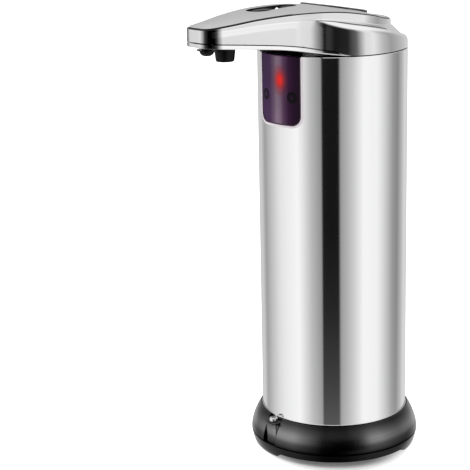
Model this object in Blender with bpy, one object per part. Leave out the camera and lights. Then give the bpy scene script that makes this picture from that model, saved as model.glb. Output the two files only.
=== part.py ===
"""Automatic soap dispenser: a steel sleeve on a black base, with a chromed head and spout.

Metres, +Z up, standing on Z = 0. The spout points along -Y and +X is on its left.
Every piece hangs from the empty "dispenser", which lies on the sleeve's axis.
"""

import math

import bmesh
import bpy
from mathutils import Matrix, Vector

# Fits shared by all pieces
GAP = 0.0003
SEAM_GAP = 0.0004
DOME_SHARE = 0.7
DOME_DROP_SHARE = 0.3
OVERRUN = 0.004
MERGE = 0.000001

# Facets
ROUND_STEPS = 64
MID_STEPS = 36
SMALL_STEPS = 20
TINY_STEPS = 12
ROD_PHASE_SHARE = 0.25
SMOOTH_ANGLE = math.radians(35.0)

# Sleeve
SLEEVE_RADIUS = 0.0325
SLEEVE_WALL = 0.0008
SLEEVE_BORE = SLEEVE_RADIUS - SLEEVE_WALL
SLEEVE_VISIBLE = 0.1618
SLEEVE_SUNK = 0.003

# Base
PAD_PROUD = 0.0003
PAD_MARGIN = 0.0006
PAD_THICKNESS = 0.0011
PAD_HOLD = PAD_THICKNESS - PAD_PROUD
PAD_PLACE_SHARE = 0.7
FOOT_HEIGHT = 0.0020
FOOT_WIDTH = 0.0056
PAD_RADIUS = FOOT_WIDTH / 2 - PAD_MARGIN
FOOT_GAP_ANGLE = math.radians(92.0)
FOOT_GAP_FLARE = math.radians(7.5)
FOOT_GAP_CENTRE = math.radians(53.5)
COVER_RIM_HEIGHT = 0.0032
COVER_RIM_TAPER = 0.0007
COVER_PLATE = 0.0020
COVER_WALL = 0.0016
COVER_WALL_HEIGHT = 0.0035
RING_HEIGHT = 0.0117
RING_FLARE = 0.0052
RING_RADIUS = SLEEVE_RADIUS + RING_FLARE
RING_TOP_LIP = 0.0006
RING_WALL = 0.0038
RING_FLARE_POWER = 1.75
RING_CURVE_STEPS = 5
RING_WEB = 0.0030
RING_WEB_CLEARANCE = 0.0034
SPIGOT_HEIGHT = 0.0070
SPIGOT_WALL = 0.0012

# Latch in the ring's notch: column of the cover, tab and screw
LATCH_ANGLE = math.radians(-3.5)
COLUMN_HALF_WIDTH = 0.0040
COLUMN_DEPTH = 0.0038
COLUMN_CORNER_POWER = 0.45
COLUMN_TOP_DROP = 0.0026
TAB_THICKNESS = 0.0007
TAB_REACH = COLUMN_DEPTH
SCREW_HEAD_RADIUS = 0.0019
SCREW_HEAD_HEIGHT = 0.0014
SCREW_SHANK_RADIUS = 0.0008
SCREW_LENGTH = 0.0060

# Batteries (AAA)
CELL_RADIUS = 0.00525
CELL_LENGTH = 0.0433
CELL_TIP_RADIUS = 0.0019
CELL_TIP_HEIGHT = 0.0010
CELL_GAP = 0.0013
CELL_SPACING = 2 * CELL_RADIUS + CELL_GAP
HOLDER_WALL = 0.0017
HOLDER_RADIUS = CELL_SPACING / math.sqrt(2) + CELL_RADIUS + GAP + HOLDER_WALL
HOLDER_TOP_WALL = 0.0016
HOLDER_SEAT = 0.0045
RING_WEB_BORE = HOLDER_RADIUS + RING_WEB_CLEARANCE
HOLDER_FLANGE_RADIUS = RING_WEB_BORE + HOLDER_SEAT
HOLDER_FLANGE = 0.0020
CONTACT_THICKNESS = 0.0004
CONTACT_WIDTH = 0.0060
SPRING_RADIUS = 0.0026
SPRING_WIRE = 0.0003
SPRING_HEIGHT = 0.0024
SPRING_TURNS = 3
SPRING_POINTS_PER_TURN = 10

# Soap tank; its flat front leaves room for the boards behind the window
TANK_CLEARANCE = 0.0013
TANK_RADIUS = SLEEVE_BORE - TANK_CLEARANCE
TANK_WALL = 0.0012
SENSOR_ROOM = 0.0080
TANK_FLAT = SLEEVE_BORE - SENSOR_ROOM
GASKET_THICKNESS = 0.0010
LID_THICKNESS = 0.0020
LID_DROP = 0.0165

# Head, heights measured from the seam with the sleeve
SPOUT_REACH = 0.0750
NOSE_FLAT = 0.0030
NOSE_CORNER = 0.0060
SKIRT_RADIUS = SLEEVE_RADIUS
RIM_INSET = 0.0072
RIM_RADIUS = SKIRT_RADIUS - RIM_INSET
FILLET_RADIUS = 0.0140
HEAD_RISE = 0.01865
NOSE_TOP_SHARE = 0.8
NOSE_DEPTH = 0.00772
NOSE_RISE = NOSE_TOP_SHARE * HEAD_RISE - NOSE_DEPTH
CROWN = 0.0016
NOSE_CROWN = 0.0012
SHELL_WALL = 0.0018
SHELL_EDGE = 0.0009
RIM_EDGE = 0.0003
RIM_WIDTH = 0.0007
LEDGE_WIDTH = 0.0030
LEDGE_THICKNESS = 0.0012
COVER_THICKNESS = 0.0016
PLATE_EDGE = 0.0017
PLATE_WEB = 0.0012
PLATE_ROUND = 0.0005
MIN_STEP = 0.0004

# Outline stations of the head
NOSE_STEPS = 4
LINE_STEPS = 6
FILLET_STEPS = 5
PLATE_END = math.radians(56.0)
PLATE_STEP = math.radians(3.0)
ANGLE_SLACK = math.radians(1.0)
SKIRT_STEPS = 11

# Heights along the head: place as a share of the spout's reach in front of the axis and of
# the sleeve's radius behind it, height as a share of the head's rise (or of the nose's)
CREASE_SHARES = ((-1.0, NOSE_TOP_SHARE), (-0.85, 0.862), (-0.70, 0.935), (-0.52, 0.988), (-0.38, 1.0),
                 (-0.27, 0.990), (-0.18, 0.963), (-0.08, 0.905), (0.05, 0.830), (0.25, 0.745),
                 (0.55, 0.680), (0.80, 0.655), (1.0, 0.645))
UNDER_SHARES = ((-1.0, 0.960), (-0.84, 0.820), (-0.70, 0.690), (-0.55, 0.530), (-0.43, 0.345),
                (-0.36, 0.210), (-0.28, 0.070), (-0.20, 0.0), (1.0, 0.0))
SHOULDER_SHARES = ((-1.0, 0.86), (-0.348, 0.800), (-0.30, 0.780), (-0.248, 0.735), (-0.19, 0.665),
                   (-0.11, 0.590), (-0.04, 0.531), (0.17, 0.445), (0.39, 0.375), (0.68, 0.290),
                   (1.0, 0.215))
RIM_FOOT_SHARES = ((-1.0, 0.90), (-0.35, 0.840), (-0.22, 0.780), (-0.115, 0.724), (-0.03, 0.654),
                   (0.15, 0.584), (0.58, 0.499), (0.78, 0.477), (1.0, 0.462))
WALL_SPLIT_SHARE = 0.74
WALL_SPLIT_TOP_SHARE = 0.82
CROWN_RING_SHARES = (0.2, 0.42, 0.64, 0.82, 0.93, 1.0)
COVER_UNDER_SHARES = (0.64, 0.3)

# Fill opening: cap, neck and seal on one tilted axis
CAP_SLOPE_SHARE = 0.9503
CAP_CENTRE_Y = 0.0012
CAP_PROUD = 0.00088
CAP_INSET = 0.0108
CAP_RADIUS = RIM_RADIUS - CAP_INSET
CAP_CHAMFER = 0.0005
CAP_DOME = 0.0002
CAP_DOME_SHARE = 0.75
CAP_DISC = 0.0035
CAP_LIP = 0.0055
CAP_PLUG_RADIUS = CAP_RADIUS - CAP_LIP
CAP_PLUG_LENGTH = 0.0060
NECK_CLEARANCE = 0.0008
NECK_BORE = CAP_PLUG_RADIUS + NECK_CLEARANCE
NECK_WALL = 0.0012
NECK_OUTER = NECK_BORE + NECK_WALL
NECK_FLANGE = 0.0013
NECK_FLANGE_WIDTH = 0.0046
NECK_FLANGE_RADIUS = NECK_OUTER + NECK_FLANGE_WIDTH
CAP_GROOVE_DEPTH = 0.0009
SEAL_STEPS = 6
SEAL_FROM_DISC = 0.0030

# Sensor window and what is behind it
WINDOW_HALF_WIDTH = 0.01205
WINDOW_HEIGHT = 0.0295
WINDOW_CORNER = 0.0045
WINDOW_THICKNESS = 0.0016
WINDOW_CORNER_STEPS = 6
BOARD_THICKNESS = 0.0008
SENSOR_BOARD_INSET = 0.00105
SENSOR_BOARD_WIDTH = 2 * (WINDOW_HALF_WIDTH - SENSOR_BOARD_INSET)
SENSOR_BOARD_HEIGHT = 0.0270
SENSOR_RADIUS = 0.0019
SENSOR_EDGE = 0.0038
SENSOR_SPREAD = SENSOR_BOARD_WIDTH / 2 - SENSOR_EDGE
SENSOR_DROP = 0.0178
SENSOR_LENGTH = 0.0038
LED_RADIUS = 0.0015
LED_LENGTH = 0.0046
LED_DROP = 0.0103
CONTROL_BOARD_HEIGHT = 0.0420
BOARD_SPACE = 0.0099

# Top frame and head screws
FRAME_WIDTH = 0.0092
FRAME_BORE = SLEEVE_BORE - FRAME_WIDTH
FRAME_HEIGHT = 0.0070
FRAME_SLOT_MARGIN = 0.00245
FRAME_SLOT_HALF_WIDTH = WINDOW_HALF_WIDTH + FRAME_SLOT_MARGIN
HEAD_SCREW_INSET = 0.0053
HEAD_SCREW_X = SLEEVE_BORE - HEAD_SCREW_INSET
HEAD_SCREW_Y = 0.0050
HEAD_SCREW_HEAD_RADIUS = 0.0023
HEAD_SCREW_HEAD_HEIGHT = 0.0014
HEAD_SCREW_SHANK_RADIUS = 0.0012
HEAD_SCREW_LENGTH = 0.0070

# Pump and gear train, axes along Y; gears, block and motor fill the height that is free
DRIVE_X = -0.0010
PUMP_TEETH = 10
PUMP_GEAR_WIDTH = 0.0045
PUMP_HEADROOM = 0.0008
PUMP_WALL = 0.0004
PUMP_SIDE_WALL = 0.0023
PINION_TEETH = 8
WHEEL_TEETH = 20
WHEEL_WIDTH = 0.0024
WHEEL_CLEARANCE = 0.0003
TOOTH_ROOT_SHARE = 0.28
TOOTH_TIP_SHARE = 0.08
ADDENDUM_SHARE = 0.7
DEDENDUM_SHARE = 1.2
TOOTH_GAP_SHARE = 0.5
SHAFT_SHARE = 0.48
MOTOR_SHAFT_SHARE = 0.45
MOTOR_CLEARANCE = 0.0002
MOTOR_FLAT_SHARE = 0.73
MOTOR_LENGTH = 0.0140
NECK_LEAN_SPACE = 0.0006
MOTOR_BOSS_RADIUS = 0.0020
MOTOR_BOSS_LENGTH = 0.0006
PUMP_REAR_WALL = 0.0015
PUMP_COVER_THICKNESS = 0.0015
PORT_RADIUS = 0.0020
PORT_BORE = 0.0012
PORT_LENGTH = 0.0026

# Buttons and their inlay; places and lengths along it are shares of its length
PANEL_NOSE_SHARE = 0.3853
PANEL_CAP_SPACE = 0.0087
PANEL_FRONT_Y = (PANEL_NOSE_SHARE - 1) * SPOUT_REACH
PANEL_REAR_Y = CAP_CENTRE_Y - CAP_RADIUS - PANEL_CAP_SPACE
PANEL_LENGTH = PANEL_REAR_Y - PANEL_FRONT_Y
PANEL_FRONT_SHARE = 0.22
PANEL_FRONT_RADIUS = PANEL_FRONT_SHARE * PANEL_LENGTH
PANEL_REAR_SHARE = 0.1533
PANEL_REAR_RADIUS = PANEL_REAR_SHARE * PANEL_LENGTH
PANEL_PROUD = 0.00005
PANEL_TOP = HEAD_RISE + PANEL_PROUD
PANEL_PLATE = 0.0009
PANEL_FLANGE_WIDTH = 0.0012
PANEL_DEPTH = 0.0023
PANEL_FLANGE_TOP = PANEL_TOP - PANEL_DEPTH
PANEL_LEG = 0.0009
PANEL_WALL = 0.0008
PANEL_MARGIN = 0.0014
PANEL_ROOM = PANEL_LENGTH - 2 * PANEL_MARGIN
POWER_LENGTH_SHARE = 0.2687
POWER_BUTTON_LENGTH = POWER_LENGTH_SHARE * PANEL_ROOM
POWER_BUTTON_Y = PANEL_FRONT_Y + PANEL_MARGIN + POWER_BUTTON_LENGTH
POWER_SIDE_MARGIN = 0.00136
POWER_BUTTON_PROUD = 0.0009
AMOUNT_LENGTH_SHARE = 0.1418
AMOUNT_BUTTON_LENGTH = AMOUNT_LENGTH_SHARE * PANEL_ROOM
AMOUNT_BUTTON_Y = PANEL_REAR_Y - PANEL_MARGIN - AMOUNT_BUTTON_LENGTH
AMOUNT_SIDE_MARGIN = 0.0017
AMOUNT_BUTTON_PROUD = 0.0012
BUTTON_CROWN = 0.0007
BUTTON_CROWN_SHARES = ((1.0, 1.0), (0.88, 0.35), (0.58, 0.06))
BUTTON_FLANGE = 0.0005
BUTTON_FLANGE_WIDTH = 0.0004
BUTTON_STEM_RADIUS = 0.0012
BUTTON_TRAVEL = 0.0004
LENS_PLACE_SHARE = 0.6306
LENS_RADIUS_SHARE = 0.0299
LENS_Y = PANEL_FRONT_Y + PANEL_MARGIN + LENS_PLACE_SHARE * PANEL_ROOM
LENS_RADIUS = LENS_RADIUS_SHARE * PANEL_ROOM
LENS_PROUD = 0.0005
BUTTON_BOARD_MARGIN = 0.0006
BUTTON_BOARD_HALF_WIDTH = PANEL_REAR_RADIUS + BUTTON_BOARD_MARGIN
SWITCH_SHARE = 0.95
SWITCH_SIZE = SWITCH_SHARE * AMOUNT_BUTTON_LENGTH
SWITCH_HEIGHT = 0.0006

# Spout outlet
NOZZLE_INSET = 0.0062
NOZZLE_Y = NOZZLE_INSET - SPOUT_REACH
NOZZLE_RADIUS = 0.0031
NOZZLE_DROP = 0.0024
NOZZLE_STEM_RADIUS = 0.0022
NOZZLE_FLANGE_RADIUS = 0.0030
NOZZLE_LIP_RADIUS = 0.0042
NOZZLE_LIP = 0.0003
NOZZLE_FLANGE = 0.0008
NOZZLE_BORE = 0.0009
NOZZLE_STEPS = 6
VALVE_SPACE = 0.0007
VALVE_TOP_RADIUS = 0.0044
VALVE_Y = NOZZLE_Y + NOZZLE_LIP_RADIUS + VALVE_SPACE + VALVE_TOP_RADIUS
VALVE_BOTTOM_RADIUS = 0.0038
VALVE_DROP = 0.0050
VALVE_CHAMFER = 0.0005
VALVE_STEM_RADIUS = 0.0030
VALVE_FLANGE_RADIUS = 0.0038
VALVE_FLANGE = 0.0010

# Hoses and lead
HOSE_RADIUS = 0.0020
OUTLET_HOSE_RADIUS = 0.0016
HOSE_BEND = 0.0032
HOSE_DROP = 0.0026
SUCTION_ANGLE = math.radians(42.0)
SUCTION_PLACE_RADIUS = FRAME_BORE - HOSE_RADIUS - GAP
SUCTION_X = SUCTION_PLACE_RADIUS * math.sin(SUCTION_ANGLE)
SUCTION_Y = -SUCTION_PLACE_RADIUS * math.cos(SUCTION_ANGLE)
SUCTION_CLEARANCE = 0.0040
SUCTION_HOLE_RADIUS = 0.0028
LEAD_RADIUS = 0.0008
LEAD_BEND = 0.0060
LEAD_ROOM = 0.0021
LEAD_X = -SENSOR_BOARD_WIDTH / 2 - 2 * LEAD_RADIUS
LEAD_Y = -TANK_FLAT - LEAD_ROOM
LEAD_HOLE_RADIUS = 0.0015
STRAIGHT_ANGLE = math.radians(2.0)
MIN_ROUTE_STEPS = 3

# Heights worked out from the values above
FOOT_Z = PAD_PROUD
COVER_Z = FOOT_Z + FOOT_HEIGHT
COVER_RIM_TOP = COVER_Z + COVER_RIM_HEIGHT
RING_Z = COVER_RIM_TOP + GAP
RING_TOP = RING_Z + RING_HEIGHT
HEAD_Z = RING_TOP + SLEEVE_VISIBLE
SLEEVE_Z = RING_TOP - SLEEVE_SUNK
SHELF_Z = SLEEVE_Z - GAP
WEB_Z = SHELF_Z - RING_WEB
COVER_FLOOR = COVER_Z + COVER_PLATE
CELL_Z = COVER_FLOOR + GAP + CONTACT_THICKNESS + GAP + SPRING_HEIGHT + GAP
CELL_TOP = CELL_Z + CELL_LENGTH
HOLDER_ROOF = CELL_TOP + CELL_TIP_HEIGHT + GAP + CONTACT_THICKNESS + GAP
HOLDER_TOP = HOLDER_ROOF + HOLDER_TOP_WALL
HOLDER_Z = COVER_FLOOR + GAP
TANK_Z = HOLDER_TOP + GAP
LID_TOP = HEAD_Z - LID_DROP
LID_Z = LID_TOP - LID_THICKNESS
GASKET_Z = LID_Z - GAP - GASKET_THICKNESS
TANK_TOP = GASKET_Z - GAP
LATCH_BACK = SLEEVE_RADIUS + GAP
LATCH_SCREW_Y = -LATCH_BACK - SCREW_HEAD_RADIUS
COLUMN_TOP = RING_TOP - COLUMN_TOP_DROP

PANEL_FLANGE_Z = PANEL_FLANGE_TOP - PANEL_LEG
BUTTON_BOARD_TOP = PANEL_FLANGE_Z - GAP
SWITCH_TOP = BUTTON_BOARD_TOP + GAP + SWITCH_HEIGHT
PANEL_PLATE_Z = PANEL_TOP - PANEL_PLATE
BUTTON_FLANGE_TOP = PANEL_PLATE_Z - GAP

# The sleeve's axis lies behind the middle of the whole dispenser's length
AXIS_Y = (SPOUT_REACH - RING_RADIUS) / 2


# Scene helpers

def clear_scene():
    for found in list(bpy.data.objects):
        bpy.data.objects.remove(found, do_unlink=True)


def material(name, colour, roughness, metallic=0.0, transmission=0.0):
    """One Principled material, made once and shared by name."""
    if name in bpy.data.materials:
        return bpy.data.materials[name]
    made = bpy.data.materials.new(name)
    made.use_nodes = True
    shader = made.node_tree.nodes["Principled BSDF"]
    shader.inputs["Base Color"].default_value = (*colour, 1.0)
    shader.inputs["Roughness"].default_value = roughness
    shader.inputs["Metallic"].default_value = metallic
    shader.inputs["Transmission Weight"].default_value = transmission
    made.diffuse_color = (*colour, 1.0)
    return made


def polished_steel():
    return material("polished_steel", (0.62, 0.62, 0.63), 0.16, 1.0)


def chrome():
    return material("chrome", (0.78, 0.78, 0.79), 0.08, 1.0)


def satin_silver():
    return material("satin_silver", (0.56, 0.56, 0.57), 0.42, 1.0)


def black_plastic():
    return material("black_plastic", (0.015, 0.015, 0.016), 0.34)


def black_rubber():
    return material("black_rubber", (0.012, 0.012, 0.012), 0.6)


def window_tint():
    return material("window_tint", (0.07, 0.02, 0.10), 0.08, 0.0, 0.5)


def milky_plastic():
    return material("milky_plastic", (0.82, 0.83, 0.82), 0.35, 0.0, 0.3)


def clear_silicone():
    return material("clear_silicone", (0.85, 0.86, 0.86), 0.3, 0.0, 0.5)


def white_acetal():
    return material("white_acetal", (0.84, 0.84, 0.81), 0.38)


def screw_steel():
    return material("screw_steel", (0.66, 0.66, 0.67), 0.25, 1.0)


def board_green():
    return material("board_green", (0.02, 0.16, 0.06), 0.4)


def motor_can():
    return material("motor_can", (0.55, 0.55, 0.56), 0.3, 1.0)


def brass():
    return material("brass", (0.72, 0.52, 0.22), 0.25, 1.0)


def contact_metal():
    return material("contact_metal", (0.70, 0.69, 0.66), 0.25, 1.0)


def cell_wrap():
    return material("cell_wrap", (0.10, 0.11, 0.13), 0.35, 0.4)


def led_red():
    return material("led_red", (0.75, 0.02, 0.02), 0.2, 0.0, 0.3)


def lens_white():
    return material("lens_white", (0.90, 0.91, 0.92), 0.15, 0.0, 0.3)


def empty(name, place, parent=None, tilt=0.0):
    made = bpy.data.objects.new(name, None)
    made.location = place
    made.rotation_euler = (tilt, 0.0, 0.0)
    made.parent = parent
    bpy.context.scene.collection.objects.link(made)
    return made


def make(name, shape, finish, parent, place=(0.0, 0.0, 0.0)):
    """Turn a bmesh into a named object, with its faces pointing out."""
    bmesh.ops.recalc_face_normals(shape, faces=shape.faces)
    mesh = bpy.data.meshes.new(name)
    shape.to_mesh(mesh)
    shape.free()
    mesh.materials.append(finish)
    mesh.shade_smooth()
    mesh.set_sharp_from_angle(angle=SMOOTH_ANGLE)
    made = bpy.data.objects.new(name, mesh)
    made.parent = parent
    made.location = place
    bpy.context.scene.collection.objects.link(made)
    return made


def combine(target, tool_shape, operation, tool_name, parent=None, place=(0.0, 0.0, 0.0)):
    """Cut or join with a hidden tool object through a Boolean modifier."""
    parent = parent or target.parent
    tool = make(tool_name, tool_shape, target.data.materials[0], parent, place)
    tool.hide_render = True
    tool.display_type = "WIRE"
    change = target.modifiers.new(tool_name, "BOOLEAN")
    change.operation = operation
    change.object = tool
    change.solver = "EXACT"
    return tool


def cut(target, tool_shape, tool_name, parent=None, place=(0.0, 0.0, 0.0)):
    return combine(target, tool_shape, "DIFFERENCE", tool_name, parent, place)


def join(target, tool_shape, tool_name, parent=None, place=(0.0, 0.0, 0.0)):
    return combine(target, tool_shape, "UNION", tool_name, parent, place)


# Shape helpers

def strip_faces(shape, rows, closed_rows=True, closed_points=True):
    """Quads between neighbouring rows of vertices."""
    row_count = len(rows)
    point_count = len(rows[0])
    row_range = range(row_count if closed_rows else row_count - 1)
    point_range = range(point_count if closed_points else point_count - 1)
    for i in row_range:
        here = rows[i]
        following = rows[(i + 1) % row_count]
        for j in point_range:
            k = (j + 1) % point_count
            shape.faces.new((here[j], here[k], following[k], following[j]))


def lofted(sections):
    """A closed ring of closed sections; points that meet are merged."""
    shape = bmesh.new()
    rows = [[shape.verts.new(point) for point in section] for section in sections]
    strip_faces(shape, rows)
    bmesh.ops.remove_doubles(shape, verts=shape.verts, dist=MERGE)
    spare = [edge for edge in shape.edges if not edge.link_faces]
    bmesh.ops.delete(shape, geom=spare, context="EDGES")
    return shape


def turned(profile, steps=MID_STEPS, axis="Z", phase_share=0.0):
    """Revolve a closed (radius, height) outline; radius 0 closes on the axis."""
    sections = []
    for i in range(steps):
        angle = 2 * math.pi * (i + phase_share) / steps
        sections.append([Vector((radius * math.cos(angle), radius * math.sin(angle), height))
                         for radius, height in profile])
    shape = lofted(sections)
    if axis == "Y":
        bmesh.ops.rotate(shape, verts=shape.verts, matrix=Matrix.Rotation(math.pi / 2, 3, "X"))
    return shape


def rod(radius, bottom, top, steps=SMALL_STEPS, axis="Z"):
    """Plain cylinder. Along Y, heights count towards -Y."""
    profile = ((0.0, bottom), (radius, bottom), (radius, top), (0.0, top))
    return turned(profile, steps, axis, ROD_PHASE_SHARE)


def prism(outline, bottom, top):
    """Straight solid over a flat outline."""
    shape = bmesh.new()
    low = [shape.verts.new((x, y, bottom)) for x, y in outline]
    high = [shape.verts.new((x, y, top)) for x, y in outline]
    shape.faces.new(low)
    shape.faces.new(high)
    for i in range(len(outline)):
        k = (i + 1) % len(outline)
        shape.faces.new((low[i], low[k], high[k], high[i]))
    return shape


def block(low, high):
    """Box between two corners."""
    outline = ((low[0], low[1]), (high[0], low[1]), (high[0], high[1]), (low[0], high[1]))
    return prism(outline, low[2], high[2])


def arc(centre_x, centre_y, radius, start, end, steps):
    """Points on an arc, angles from -Y towards +X."""
    points = []
    for i in range(steps + 1):
        angle = start + (end - start) * i / steps
        points.append((centre_x + radius * math.sin(angle), centre_y - radius * math.cos(angle)))
    return points


def ellipse(half_x, half_y, centre_y=0.0, steps=SMALL_STEPS):
    return [(half_x * math.cos(2 * math.pi * i / steps),
             centre_y + half_y * math.sin(2 * math.pi * i / steps)) for i in range(steps)]


def squared_ellipse(half_x, half_y):
    """Ellipse swollen towards the corners of its box."""
    points = []
    for x, y in ellipse(1.0, 1.0):
        points.append((half_x * math.copysign(abs(x) ** COLUMN_CORNER_POWER, x),
                       half_y * math.copysign(abs(y) ** COLUMN_CORNER_POWER, y)))
    return points


def smooth_through(shares, scale_x, scale_y):
    """A smooth height over Y through the given shares, by cubic pieces."""
    points = [(scale_x(x), y * scale_y) for x, y in shares]
    slopes = []
    for i in range(len(points)):
        before = points[max(i - 1, 0)]
        after = points[min(i + 1, len(points) - 1)]
        slopes.append((after[1] - before[1]) / (after[0] - before[0]))

    def height(x):
        x = min(max(x, points[0][0]), points[-1][0])
        i = 0
        while i < len(points) - 2 and x > points[i + 1][0]:
            i += 1
        (x0, y0), (x1, y1) = points[i], points[i + 1]
        span = x1 - x0
        t = (x - x0) / span
        rise = y1 - y0
        return (y0 + t * t * (3 - 2 * t) * rise
                + span * (t * (1 - t) ** 2 * slopes[i] - t * t * (1 - t) * slopes[i + 1]))

    return height


def along(share):
    """Place on the head's length for a share: spout in front, sleeve behind."""
    return share * (SPOUT_REACH if share < 0 else SLEEVE_RADIUS)


crease = smooth_through(CREASE_SHARES, along, HEAD_RISE)
under = smooth_through(UNDER_SHARES, along, NOSE_RISE)
shoulder = smooth_through(SHOULDER_SHARES, along, HEAD_RISE)
rim_foot = smooth_through(RIM_FOOT_SHARES, along, HEAD_RISE)


def plate_bottom(y):
    return GAP + under(y)


def plate_top(y):
    """The underplate is thicker along the spout than over the sleeve."""
    near = min(max((-y - SLEEVE_RADIUS / 2) / (SLEEVE_RADIUS / 2), 0.0), 1.0)
    return plate_bottom(y) + PLATE_WEB + (PLATE_EDGE - PLATE_WEB) * near


def crown(y):
    """Height of the top's middle over its edge."""
    near_nose = min(max(-y / SPOUT_REACH, 0.0), 1.0)
    return CROWN + (NOSE_CROWN - CROWN) * near_nose


def surface(y):
    """Height of the top cover's middle line, before and behind the axis."""
    share = max(y, 0.0) / (RIM_RADIUS - RIM_WIDTH - SEAM_GAP)
    return crease(y) + crown(min(y, 0.0)) * (1 - share * share)


# The cap leans with the cover's surface, and the neck leads down from it
CAP_FALL = surface(CAP_CENTRE_Y - CAP_RADIUS) - surface(CAP_CENTRE_Y + CAP_RADIUS)
CAP_TILT = math.atan(CAP_SLOPE_SHARE * CAP_FALL / (2 * CAP_RADIUS))
CAP_PLANE = surface(CAP_CENTRE_Y) + CAP_PROUD
NECK_FRONT_Y = CAP_CENTRE_Y - CAP_PLANE * math.tan(CAP_TILT) - NECK_OUTER

# Places along the spout worked out from the gear train. The neck leans back from the motor, so
# the motor's rear may lie a little behind the neck's front at the seam
MOTOR_REAR_Y = NECK_FRONT_Y + NECK_LEAN_SPACE
MOTOR_FRONT_Y = MOTOR_REAR_Y - MOTOR_LENGTH
WHEEL_REAR_Y = MOTOR_FRONT_Y - MOTOR_BOSS_LENGTH - GAP
WHEEL_FRONT_Y = WHEEL_REAR_Y - WHEEL_WIDTH
BLOCK_REAR_Y = WHEEL_FRONT_Y - GAP
CAVITY_REAR_Y = BLOCK_REAR_Y - PUMP_REAR_WALL
BLOCK_FRONT_Y = CAVITY_REAR_Y - PUMP_GEAR_WIDTH - 2 * GAP
PUMP_COVER_REAR_Y = BLOCK_FRONT_Y - GAP
PUMP_COVER_FRONT_Y = PUMP_COVER_REAR_Y - PUMP_COVER_THICKNESS

# The train lies between the plate under it and the board over it
TRAIN_FLOOR = plate_top(PUMP_COVER_FRONT_Y) + GAP
TRAIN_CEILING = BUTTON_BOARD_TOP - BOARD_THICKNESS - GAP
PUMP_BLOCK_HEIGHT = TRAIN_CEILING - TRAIN_FLOOR - PUMP_HEADROOM
TRAIN_HEIGHT = TRAIN_FLOOR + PUMP_BLOCK_HEIGHT / 2
TRAIN_Z = HEAD_Z + TRAIN_HEIGHT
PUMP_CAVITY_RADIUS = PUMP_BLOCK_HEIGHT / 2 - PUMP_WALL
PUMP_MODULE = (PUMP_CAVITY_RADIUS - GAP) / (PUMP_TEETH / 2 + ADDENDUM_SHARE)
PUMP_GEAR_RADIUS = PUMP_MODULE * PUMP_TEETH / 2
SHAFT_RADIUS = SHAFT_SHARE * PUMP_MODULE * (PUMP_TEETH / 2 - DEDENDUM_SHARE)
PUMP_BLOCK_HALF_WIDTH = PUMP_GEAR_RADIUS + PUMP_CAVITY_RADIUS + PUMP_SIDE_WALL
TRAIN_ROOM = TRAIN_CEILING - TRAIN_HEIGHT
TRAIN_MODULE = (TRAIN_ROOM - WHEEL_CLEARANCE) / (WHEEL_TEETH / 2 + ADDENDUM_SHARE)
WHEEL_RADIUS = TRAIN_MODULE * WHEEL_TEETH / 2
PINION_RADIUS = TRAIN_MODULE * PINION_TEETH / 2
MOTOR_SHAFT_RADIUS = MOTOR_SHAFT_SHARE * TRAIN_MODULE * (PINION_TEETH / 2 - DEDENDUM_SHARE)
MOTOR_HEIGHT = 2 * (TRAIN_ROOM - MOTOR_CLEARANCE)
MOTOR_WIDTH = MOTOR_HEIGHT / MOTOR_FLAT_SHARE
IDLER_X = DRIVE_X + 2 * PUMP_GEAR_RADIUS
MOTOR_X = DRIVE_X - WHEEL_RADIUS - PINION_RADIUS
BLOCK_X = (DRIVE_X + IDLER_X) / 2


# Outline of the head: one station is (skirt point, rim point, spine Y, polar angle, on spout)

def side_angle():
    """Direction that the spout's straight side faces."""
    across = NOSE_FLAT
    back = SPOUT_REACH - NOSE_CORNER
    return math.atan2(across, back) + math.acos((RIM_RADIUS - NOSE_CORNER) / math.hypot(across, back))


def fillet_offset():
    return math.sqrt((SKIRT_RADIUS + FILLET_RADIUS) ** 2 - (RIM_RADIUS + FILLET_RADIUS) ** 2)


def rim_point(radius, polar, side):
    reach = radius / math.cos(side - polar) if polar < side else radius
    return (reach * math.sin(polar), -reach * math.cos(polar))


def spine_of(point, side):
    return min(point[1] + point[0] / math.tan(side), 0.0)


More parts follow.
